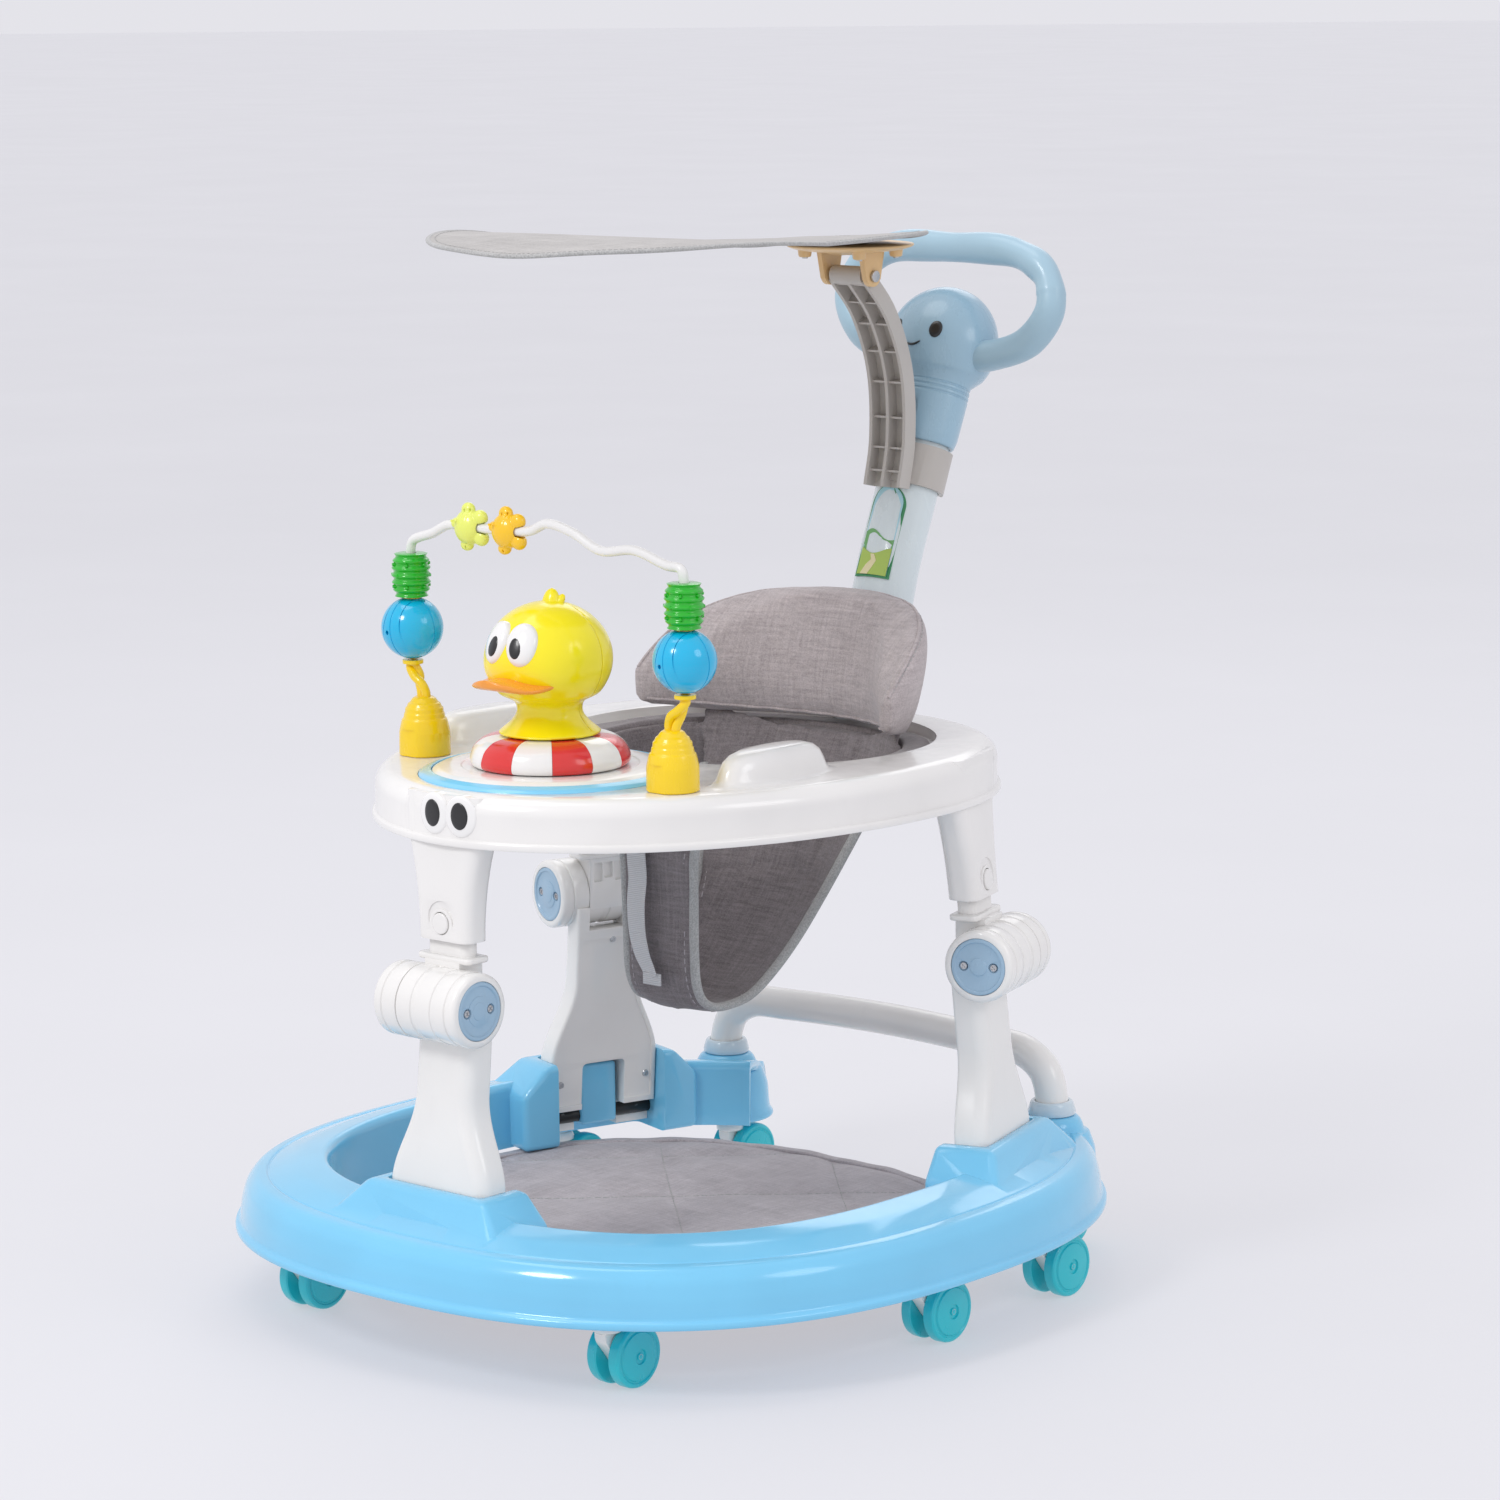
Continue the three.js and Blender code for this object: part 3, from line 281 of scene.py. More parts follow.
def paintedSteel(name, color):
    paint = Paint(name)
    peel = paint.noise(320, 3)
    chips = paint.noise(120, 5)
    paint.link(
        paint.mixColor(paint.remap(chips, 0, 1, 0.68, 0.74), color, (0.2, 0.2, 0.2, 1)), "Base Color"
    )
    paint.link(paint.remap(peel, 0.28, 0.44), "Roughness")
    paint.bump(peel, 0.3, 0.0002)
    return paint.material


finishes = {
    "legWhite": mouldedPlastic("legWhitePlastic", (0.86, 0.845, 0.815, 1), 0.2, 0.45, through=0.05),
    "trayWhite": mouldedPlastic("trayWhitePlastic", (0.85, 0.835, 0.81, 1), 0.2, 0.45, through=0.05),
    "skyBlue": mouldedPlastic("skyBluePlastic", (0.20, 0.60, 0.875, 1), 0.16, 0.5, through=0.05),
    "bandBlue": mouldedPlastic("bandBluePlastic", (0.22, 0.62, 0.88, 1), 0.2, 0.5),
    "mutedBlue": mouldedPlastic("mutedBluePlastic", (0.34, 0.50, 0.64, 1), 0.3, 0.25),
    "headBlue": mouldedPlastic("headBluePlastic", (0.35, 0.53, 0.65, 1), 0.26, 0.3),
    "loopBlue": mouldedPlastic("loopBluePlastic", (0.37, 0.54, 0.64, 1), 0.34, 0.2),
    "paleBlue": mouldedPlastic("paleBluePlastic", (0.70, 0.78, 0.80, 1), 0.24, 0.4),
    "collarClear": mouldedPlastic("collarPlastic", (0.62, 0.72, 0.78, 1), 0.18, 0.5, through=0.2),
    "teal": mouldedPlastic("tealPlastic", (0.015, 0.55, 0.63, 1), 0.3, 0.25, 0.04),
    "black": mouldedPlastic("blackPlastic", (0.012, 0.012, 0.013, 1), 0.3, 0.3),
    "blackRod": paintedSteel("blackRodPaint", (0.01, 0.011, 0.012, 1)),
    "steel": turnedSteel("screwSteel"),
    "red": mouldedPlastic("redPlastic", (0.74, 0.03, 0.028, 1), 0.16, 0.5),
    "yellow": mouldedPlastic("yellowPlastic", (0.99, 0.83, 0.004, 1), 0.2, 0.45, through=0.06),
    "cupYellow": mouldedPlastic("cupYellowPlastic", (0.96, 0.66, 0.004, 1), 0.22, 0.4),
    "orange": mouldedPlastic("orangePlastic", (0.92, 0.34, 0.035, 1), 0.26, 0.35),
    "ballBlue": mouldedPlastic("ballBluePlastic", (0.004, 0.46, 0.76, 1), 0.16, 0.5),
    "green": mouldedPlastic("greenPlastic", (0.008, 0.45, 0.012, 1), 0.18, 0.5),
    "wireWhite": mouldedPlastic("wireWhitePlastic", (0.82, 0.81, 0.79, 1), 0.25, 0.35),
    "paleYellow": mouldedPlastic("paleYellowPlastic", (0.80, 0.86, 0.16, 1), 0.24, 0.4, through=0.1),
    "figureYellow": mouldedPlastic("figureYellowPlastic", (0.94, 0.56, 0.01, 1), 0.24, 0.4),
    "warmGrey": mouldedPlastic("warmGreyPlastic", (0.52, 0.49, 0.455, 1), 0.42, 0.12, 0.05, 1200),
    "sand": mouldedPlastic("sandPlastic", (0.78, 0.53, 0.26, 1), 0.36, 0.15, 0.04),
    "eyeWhite": mouldedPlastic("eyeWhitePlastic", (0.88, 0.87, 0.85, 1), 0.14, 0.6),
    "greyCloth": wovenCloth("greyChambray", (0.315, 0.275, 0.277, 1), (0.56, 0.50, 0.50, 1)),
    "slingCloth": wovenCloth("slingChambray", (0.145, 0.125, 0.13, 1), (0.29, 0.26, 0.265, 1)),
    "matCloth": wovenCloth("matChambray", (0.34, 0.31, 0.325, 1), (0.55, 0.51, 0.53, 1)),
    "canopyCloth": wovenCloth("canopyWeave", (0.31, 0.295, 0.28, 1), (0.50, 0.48, 0.46, 1), 0.0007),
    "binding": wovenCloth("bindingTape", (0.33, 0.33, 0.325, 1), (0.50, 0.50, 0.49, 1), 0.0006, 0.35),
    "webbing": ribbedWebbing("strapWebbing", (0.72, 0.72, 0.73, 1)),
}
print("finishes mixed")


# Mesh tools


def place(x, y, z):
    return Vector((x / 1000, y / 1000 + shiftY, z / 1000))


# The reverse of place
def spotOf(co):
    return co.x * 1000, (co.y - shiftY) * 1000, co.z * 1000


# Angles evenly round a full turn
def turns(sides):
    return [math.tau * i / sides for i in range(sides)]


# A power that keeps the sign
def powered(value, power):
    return math.copysign(abs(value) ** power, value)


# A mesh from points in millimetres
def meshObject(name, points, faces):
    mesh = bpy.data.meshes.new(name)
    mesh.from_pydata([place(*p) for p in points], [], faces)
    mesh.validate()
    made = bpy.data.objects.new(name, mesh)
    bpy.context.scene.collection.objects.link(made)
    fixNormals(made)
    return made


def fixNormals(made):
    work = bmesh.new()
    work.from_mesh(made.data)
    bmesh.ops.recalc_face_normals(work, faces=work.faces)
    work.to_mesh(made.data)
    work.free()


# Turns the object's modifiers into plain mesh
def applyModifiers(made):
    depsgraph = bpy.context.evaluated_depsgraph_get()
    mesh = bpy.data.meshes.new_from_object(made.evaluated_get(depsgraph))
    made.modifiers.clear()
    old = made.data
    made.data = mesh
    mesh.name = made.name
    bpy.data.meshes.remove(old)
    return made


def modify(made, kind, **settings):
    step = made.modifiers.new(kind.lower(), kind)
    for key, value in settings.items():
        setattr(step, key, value)
    return applyModifiers(made)


def drop(*made):
    for each in made:
        bpy.data.objects.remove(each, do_unlink=True)


def combine(made, operation, *others):
    for other in others:
        modify(made, "BOOLEAN", object=other, operation=operation, solver="MANIFOLD")
    drop(*others)
    return made


def carve(made, *tools):
    return combine(made, "DIFFERENCE", *tools)


def weld(made, *others):
    return combine(made, "UNION", *others)


# Puts several meshes into one object without a boolean
def group(made, *others):
    work = bmesh.new()
    for each in (made, *others):
        work.from_mesh(each.data)
    work.to_mesh(made.data)
    work.free()
    drop(*others)
    return made


# Rounds the sharp edges, width in millimetres
def soften(made, width, segments=3, angle=35):
    return modify(
        made, "BEVEL", width=width / 1000, segments=segments, limit_method="ANGLE",
        angle_limit=math.radians(angle), use_clamp_overlap=True, harden_normals=False,
    )


# Shades a piece, gives it its finish, and lets it ride on its body
def finishPiece(made, finish, body, slot, *stands, angle=38):
    made.data.shade_smooth()
    if angle:
        made.data.set_sharp_from_angle(angle=math.radians(angle))
    made.data.materials.clear()
    made.data.materials.append(finishes[finish])
    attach(made, body)
    if stands:
        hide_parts(*stands)
    return made


# Several meshes as one named piece
def finishGroup(name, parts, finish, body, slot, angle=38):
    whole = group(*parts)
    whole.name = name
    return finishPiece(whole, finish, body, slot, angle=angle)


# Skins equal rings of points in turn; the ends are closed with flat caps
def loft(name, rings, closedPath=False, capped=True):
    count = len(rings[0])
    points = [p for ring in rings for p in ring]
    faces = []
    last = len(rings) if closedPath else len(rings) - 1
    for i in range(last):
        a, b = i * count, ((i + 1) % len(rings)) * count
        for j in range(count):
            k = (j + 1) % count
            faces.append((a + j, a + k, b + k, b + j))
    if capped and not closedPath:
        faces.append(tuple(reversed(range(count))))
        faces.append(tuple(range((len(rings) - 1) * count, len(rings) * count)))
    return meshObject(name, points, faces)


# Turns (radius, z) about an upright axis. A profile that starts and ends at radius 0 closes itself
def lathe(name, profile, middle=(0, 0), sides=64):
    points, faces, rows = [], [], []
    for radius, z in profile:
        if rows and (radius, z) == tuple(profile[0]):
            rows.append(rows[0])
            continue
        if radius < 1e-6:
            rows.append([len(points)])
            points.append((middle[0], middle[1], z))
            continue
        rows.append(list(range(len(points), len(points) + sides)))
        for angle in turns(sides):
            points.append((middle[0] + radius * math.cos(angle), middle[1] + radius * math.sin(angle), z))
    for low, high in zip(rows, rows[1:]):
        for i in range(sides):
            j = (i + 1) % sides
            if len(low) == 1 and len(high) == 1:
                continue
            if len(low) == 1:
                faces.append((low[0], high[j], high[i]))
            elif len(high) == 1:
                faces.append((low[i], low[j], high[0]))
            else:
                faces.append((low[i], low[j], high[j], high[i]))
    return meshObject(name, points, faces)


# Rounds the inner corners of an open profile with arcs
def rounded(profile, radius, steps=4):
    result = [profile[0]]
    for before, corner, after in zip(profile, profile[1:], profile[2:]):
        a = Vector(before) - Vector(corner)
        b = Vector(after) - Vector(corner)
        reach = min(radius, a.length * 0.48, b.length * 0.48)
        start = Vector(corner) + a.normalized() * reach
        end = Vector(corner) + b.normalized() * reach
        for i in range(steps + 1):
            t = i / steps
            p = start * (1 - t) ** 2 + Vector(corner) * 2 * t * (1 - t) + end * t * t
            result.append(tuple(p))
    result.append(profile[-1])
    return result


def turnObject(made, pivot, axis, degrees):
    centre = place(*pivot)
    turn = Matrix.Rotation(math.radians(degrees), 4, axis)
    made.data.transform(Matrix.Translation(centre) @ turn @ Matrix.Translation(-centre))
    return made


# Moves a mesh made about the origin to a spot, turned
def carry(made, spot, turn=Matrix.Identity(4)):
    made.data.transform(Matrix.Translation(place(*spot)) @ turn @ Matrix.Translation(-place(0, 0, 0)))
    return made


# A straight round bar between two points
def rod(name, a, b, radius, sides=32, endRadius=None):
    start, end = Vector(a), Vector(b)
    along = (end - start).normalized()
    side = along.orthogonal().normalized()
    other = along.cross(side)
    rings = []
    for p, r in ((start, radius), (end, endRadius or radius)):
        rings.append([tuple(p + (side * math.cos(t) + other * math.sin(t)) * r) for t in turns(sides)])
    return loft(name, rings)


# A smooth centripetal curve through points
def catmull(points, perSpan=8):
    pts = [Vector(p) for p in points]
    pts = [pts[0] * 2 - pts[1], *pts, pts[-1] * 2 - pts[-2]]
    result = []
    for p0, p1, p2, p3 in zip(pts, pts[1:], pts[2:], pts[3:]):
        t0 = 0.0
        t1 = t0 + max((p1 - p0).length, 1e-6) ** 0.5
        t2 = t1 + max((p2 - p1).length, 1e-6) ** 0.5
        t3 = t2 + max((p3 - p2).length, 1e-6) ** 0.5
        for i in range(perSpan):
            t = t1 + (t2 - t1) * i / perSpan
            a1 = p0 * ((t1 - t) / (t1 - t0)) + p1 * ((t - t0) / (t1 - t0))
            a2 = p1 * ((t2 - t) / (t2 - t1)) + p2 * ((t - t1) / (t2 - t1))
            a3 = p2 * ((t3 - t) / (t3 - t2)) + p3 * ((t - t2) / (t3 - t2))
            b1 = a1 * ((t2 - t) / (t2 - t0)) + a2 * ((t - t0) / (t2 - t0))
            b2 = a2 * ((t3 - t) / (t3 - t1)) + a3 * ((t - t1) / (t3 - t1))
            result.append(b1 * ((t2 - t) / (t2 - t1)) + b2 * ((t - t1) / (t2 - t1)))
    result.append(pts[-2])
    return result


# The unit direction of travel at each point of a path
def headings(path, closed=False):
    count = len(path)
    result = []
    for i in range(count):
        if closed:
            ahead = path[(i + 1) % count] - path[i - 1]
        else:
            ahead = path[min(i + 1, count - 1)] - path[max(i - 1, 0)]
        result.append(ahead.normalized())
    return result


# A section of (sideways, outward) points swept along a path; sideways stays near the vector across
def tubeAlong(name, path, section, across=Vector((1, 0, 0))):
    rings = []
    for i, (p, ahead) in enumerate(zip(path, headings(path))):
        side = (across - ahead * across.dot(ahead)).normalized()
        out = ahead.cross(side)
        outline = section(i / (len(path) - 1)) if callable(section) else section
        rings.append([tuple(p + side * a + out * b) for a, b in outline])
    return loft(name, rings)


def ellipse(halfX, halfY, count=32):
    return [(halfX * math.cos(a), halfY * math.sin(a)) for a in turns(count)]


# A ring of points round an axis that runs sideways
def wheelRing(x, y, z, radius, sides=72):
    return [(x, y + radius * math.cos(a), z + radius * math.sin(a)) for a in turns(sides)]


def roundedRectangle(width, depth, corner, steps=6):
    outline = []
    for sx, sy, start in ((1, 1, 0), (-1, 1, 90), (-1, -1, 180), (1, -1, 270)):
        for i in range(steps + 1):
            angle = math.radians(start + 90 * i / steps)
            outline.append((
                sx * (width / 2 - corner) + corner * math.cos(angle),
                sy * (depth / 2 - corner) + corner * math.sin(angle),
            ))
    return outline


def slab(name, outline, z0, z1, middle=(0, 0)):
    rings = [[(middle[0] + x, middle[1] + y, z) for x, y in outline] for z in (z0, z1)]
    return loft(name, rings)


def blockAt(name, x0, x1, y0, y1, z0, z1):
    return slab(name, [(x0, y0), (x1, y0), (x1, y1), (x0, y1)], z0, z1)


def sideRod(name, radius, x0, x1, y, z, sides=48):
    return rod(name, (x0, y, z), (x1, y, z), radius, sides)


# Moves each point by a rule that takes and gives millimetres
def shifted(made, rule):
    for v in made.data.vertices:
        v.co = place(*rule(*spotOf(v.co)))
    return made


def blendStep(low, high, value):
    t = min(max((value - low) / (high - low), 0.0), 1.0)
    return t * t * (3 - 2 * t)


# A pan head screw with a cross recess, its head facing outward
def crossScrew(name, spot, outward, radius=2.6, sink=0.5):
    out = Vector(outward).normalized()
    base = Vector(spot) - out * sink
    head = rod(name, base, base + out * 1.6, radius, 24, radius * 0.8)
    side = out.orthogonal().normalized()
    other = out.cross(side)
    tools = []
    for a, b in ((side, other), (other, side)):
        corners = []
        for depth in (0.8, 2.5):
            corners.append([
                tuple(base + out * depth + a * sa * radius * 0.62 + b * sb * radius * 0.13)
                for sa, sb in ((-1, -1), (1, -1), (1, 1), (-1, 1))
            ])
        tools.append(loft(name + "Slot", corners))
    return carve(head, *tools)


# Closes two layers of rings, each growing from its middle, into one sheet
def layeredDisc(name, points, rows, sides):
    faces = []
    layer, rim = (rows + 1) * sides, rows * sides
    for n in (0, layer):
        for i in range(rows):
            for j in range(sides):
                a, b, k = n + i * sides, n + (i + 1) * sides, (j + 1) % sides
                faces.append((a + j, a + k, b + k, b + j))
    for j in range(sides):
        k = (j + 1) % sides
        faces.append((rim + j, rim + k, layer + rim + k, layer + rim + j))
    made = meshObject(name, points, faces)
    work = bmesh.new()
    work.from_mesh(made.data)
    bmesh.ops.remove_doubles(work, verts=work.verts, dist=0.00005)
    bmesh.ops.recalc_face_normals(work, faces=work.faces)
    work.to_mesh(made.data)
    work.free()
    return made


# Outlines shared by the base and the tray


# A point of an egg-shaped plan: angle 0 is +X, 90 degrees is the rear
def eggPoint(plan, angle, inset=0.0):
    c, s = math.cos(angle), math.sin(angle)
    reach = (plan["rear"] if s > 0 else plan["front"]) - inset
    power = 2 / (plan["rearPower"] if s > 0 else plan["frontPower"])
    x = (plan["halfWidth"] - inset) * powered(c, power)
    return Vector((x, plan["centreY"] + reach * powered(s, power), 0))


# Spaces a path's points evenly along it
def evenly(points, count, closed=True):
    path = points + [points[0]] if closed else points
    lengths = [0.0]
    for a, b in zip(path, path[1:]):
        lengths.append(lengths[-1] + (b - a).length)
    steps = count if closed else count - 1
    result, at = [], 0
    for i in range(count):
        want = lengths[-1] * i / steps
        while at < len(path) - 2 and lengths[at + 1] < want:
            at += 1
        span = lengths[at + 1] - lengths[at]
        result.append(path[at].lerp(path[at + 1], (want - lengths[at]) / span if span else 0))
    return result


def egg(plan, inset=0.0, count=160):
    fine = [eggPoint(plan, math.tau * i / 1600, inset) for i in range(1600)]
    return [(p.x, p.y) for p in evenly(fine, count)]


# Base ring

base = {
    "halfWidth": 332, "front": 333, "rear": 375, "centreY": -40, "frontPower": 2.4, "rearPower": 2.4,
    "wall": 3.2, "bottom": 60, "top": 118, "width": 78, "endX": 178,
}
boss = {"side": 11, "slope": 24, "top": 134, "shoulder": 110, "outer": 26, "inner": -14, "edge": 6}
tongue = {"halfWidth": 18, "bottom": 83, "top": 125, "room": 3.5}
rearBar = {"radius": 14, "halfSpan": 185, "y": 250, "rise": 173, "corner": 58}
legShape = {
    "footWidth": 107, "topWidth": 62, "footDepth": 30, "topDepth": 27, "footZ": 66, "footOut": 20,
    "heelZ": 87
}
knee = {"z": 281, "radius": 30, "length": 90, "offset": 17, "middle": 38, "pin": 12, "cap": 23.5}
footRod = {"radius": 6, "z": 79, "half": 64}
gap = 0.35
running = 0.6
legs = [
    {"name": "front", "x": -3, "y": -276, "heading": 180, "slope": 0, "side": -1},
    {"name": "left", "x": 212, "y": 118, "heading": -73, "slope": 0.093, "side": 1},
    {"name": "right", "x": -212, "y": 118, "heading": 73, "slope": 0.093, "side": -1},
]
legRise = knee["z"] - 12 - legShape["footZ"]
rodY = legShape["footOut"] * (1 - (footRod["z"] - legShape["footZ"]) / legRise)


# Carries a mesh from a leg's own frame (X round the ring, Y outward) to the walker
def toLeg(made, leg):
    return carry(made, (leg["x"], leg["y"], 0), Matrix.Rotation(math.radians(leg["heading"]), 4, "Z"))


# The lower leg and what follows it lean outward toward the foot
def leaned(made):
    return shifted(
        made, lambda x, y, z: (x, y + legShape["footOut"] * (1 - (z - legShape["footZ"]) / legRise), z)
    )


def ringPath(count):
    reach = base["endX"] / base["halfWidth"]
    end = math.acos(reach ** (base["frontPower"] / 2))
    fine = [eggPoint(base, end - t / 2400 * (2 * end + math.pi)) for t in range(2401)]
    return evenly(fine, count, closed=False)


# Outward and up: lip, convex wall, rounded shoulder, step line, sloping top band, inner wall
def ringSection():
    top, low, inner = base["top"], base["bottom"], -base["width"]
    outside = rounded(
        [
            (-base["wall"], low), (0.4, low), (1.2, low + 2.5), (0.6, low + 5.5), (-3.2, low + 7.5),
            (-4.6, low + 22), (-8.5, low + 36), (-16, low + 45.2), (-25.5, low + 46.6), (-27, low + 45.4),
            (-28.4, low + 46.6), (-50, top - 4.2), (inner + 4, top), (inner, top - 5), (inner - 2, low),
            (inner - 2 + base["wall"], low)
        ],
        4.5, 5
    )
    inside = [(inner + base["wall"] + 2, top - base["wall"] - 6), (-22, low + 40)]
    return outside + inside


def makeRing():
    path = ringPath(220)
    section = ringSection()
    rings = []
    for p, ahead in zip(path, headings(path)):
        out = Vector((-ahead.y, ahead.x, 0))
        if out.dot(p - Vector((0, base["centreY"], 0))) < 0:
            out.negate()
        rings.append([(p.x + out.x * a, p.y + out.y * a, b) for a, b in section])
    ring = loft("ring_shell", rings)
    for side in (-1, 1):
        r = base["width"] / 2 + 2
        low, top = base["bottom"], base["top"]
        dome = [(0, low)] + rounded(
            [
                (0.1, low), (r, low), (r + 1, low + 3), (r - 2.5, low + 8), (r - 4, low + 30),
                (r - 9, top - 14), (r - 13, top - 13), (r - 15.5, top - 5), (r - 20, top), (0.1, top)
            ],
            4, 4
        ) + [(0, top)]
        ring = weld(ring, lathe("end", dome, (side * rearBar["halfSpan"], rearBar["y"]), 72))
    return ring


# The collar round a leg's foot: its ends and outer side slope down to the ring
def bossBlock():
    half = legShape["footWidth"] / 2 + boss["side"]
    foot = half + boss["slope"]
    out = legShape["footDepth"] / 2 + legShape["footOut"]
    low = base["bottom"]
    across = [
        (-foot, low), (foot, low), (foot, boss["shoulder"]), (half, boss["top"]), (-half, boss["top"]),
        (-foot, boss["shoulder"])
    ]
    rings = [[(x, y, z) for x, z in across] for y in (-60, 120)]
    block = loft("boss", rings)
    along = [
        (boss["inner"], low), (out + boss["outer"], low), (out + boss["outer"], boss["shoulder"] - 16),
        (out + 3, boss["top"]), (boss["inner"], boss["top"])
    ]
    rings = [[(x, y, z) for y, z in along] for x in (-150, 150)]
    block = combine(block, "INTERSECT", loft("bossSide", rings))
    return soften(block, boss["edge"], 5, 20)


def baseRing():
    ring = makeRing()
    blocks, slots, ribs, bores = [], [], [], []
    for leg in legs:
        wall = legShape["footWidth"] / 2 + gap
        out = legShape["footDepth"] / 2 + gap
        blocks.append(toLeg(bossBlock(), leg))
        slot = blockAt("slot", -wall, wall, -80, out, base["bottom"] - 5, boss["top"] + 30)
        slot = soften(slot, 7, 5, 35)
        slots.append(toLeg(leaned(slot), leg))
        half = tongue["halfWidth"]
        rib = blockAt(
            "tongue", -half, half, rodY - 9, out + legShape["footOut"] + 4, tongue["bottom"] - 12,
            tongue["top"]
        )
        ribs.append(toLeg(soften(rib, 3, 3), leg))
        bores.append(
            toLeg(sideRod("bore", footRod["radius"] + running / 2, -66, 66, rodY, footRod["z"]), leg)
        )
    for block in blocks:
        ring = weld(ring, block)
    for slot in slots:
        ring = carve(ring, slot)
    for rib in ribs:
        ring = weld(ring, rib)
    for bore in bores:
        ring = carve(ring, bore)
    for side in (-1, 1):
        middle = (side * rearBar["halfSpan"], rearBar["y"])
        socket = lathe(
            "socket",
            [
                (0, base["top"] - 14), (15, base["top"] - 14), (15, base["top"] + 10),
                (0, base["top"] + 10)
            ],
            middle, 48
        )
        ring = carve(ring, socket)
    ring = soften(ring, 0.9, 2, 50)
    return finishPiece(ring, "skyBlue", "base", "sky_blue", "base_ring", angle=42)


baseRing()
for leg in legs:
    bar = toLeg(
        sideRod(
            "foot_bar_" + leg["name"], footRod["radius"], -footRod["half"], footRod["half"], rodY,
            footRod["z"]
        ),
        leg
    )
    soften(bar, 1, 3, 50)
    if leg["name"] == "front":
        finishPiece(bar, "blackRod", "base", "black_steel")
    else:
        finishPiece(bar, "blackRod", "base", "black_steel", "foot_rod_" + leg["name"])


def makeRearBar():
    half, bend = rearBar["halfSpan"], rearBar["corner"]
    foot = base["top"] - 14 + gap
    y, rise = rearBar["y"], rearBar["rise"]
    side = [
        (half, y, foot), (half, y, foot + 13), (half, y, foot + 26),
        (half - 8, y + 1, rise - bend * 0.34), (half - 30, y + 2, rise - bend * 0.1),
        (half - 70, y + 4, rise - 3)
    ]
    path = catmull([*side, (0, y + 5, rise), *[(-a, b, c) for a, b, c in reversed(side)]], 9)
    bar = tubeAlong(
        "rear_handrail", path, ellipse(rearBar["radius"], rearBar["radius"], 36), Vector((0, 1, 0))
    )
    finishPiece(bar, "legWhite", "base", "leg_white", "rear_bar")
    for side, name in ((1, "left"), (-1, "right")):
        low = base["top"] + 0.3
        collar = lathe(
            "bar_collar_" + name,
            [
                (14.4, low), (20, low), (20.5, low + 3), (18.5, low + 10), (17.2, low + 12),
                (14.4, low + 12), (14.4, low)
            ],
            (side * half, y), 48
        )
        finishPiece(soften(collar, 0.8, 3), "collarClear", "base", "leg_white")


makeRearBar()
print("base ring and rear bar done")


# Legs


# Bottle shape: straight foot, long flare, slim neck
def legHalfWidth(z):
    foot, top = legShape["footWidth"] / 2, legShape["topWidth"] / 2
    low = legShape["footZ"] + 66
    return top + (foot - top) * (1 - blendStep(low, low + 76, z)) ** 1.12


# D-shaped section: big outer corners, small inner ones
def legOutline(z, inset=0.0):
    half = legHalfWidth(z) - inset
    up = (z - legShape["footZ"]) / (knee["z"] - legShape["footZ"])
    depth = legShape["footDepth"] * (
        1 - up * (1 - legShape["topDepth"] / legShape["footDepth"])
    ) / 2 - inset
    outline = []
    for sx, sy, r, start in ((1, 1, 12.5, 0), (-1, 1, 12.5, 90), (-1, -1, 3, 180), (1, -1, 3, 270)):
        for i in range(9):
            a = math.radians(start + 90 * i / 8)
            outline.append((sx * (half - r) + r * math.cos(a), sy * (depth - r) + r * math.sin(a)))
    return outline


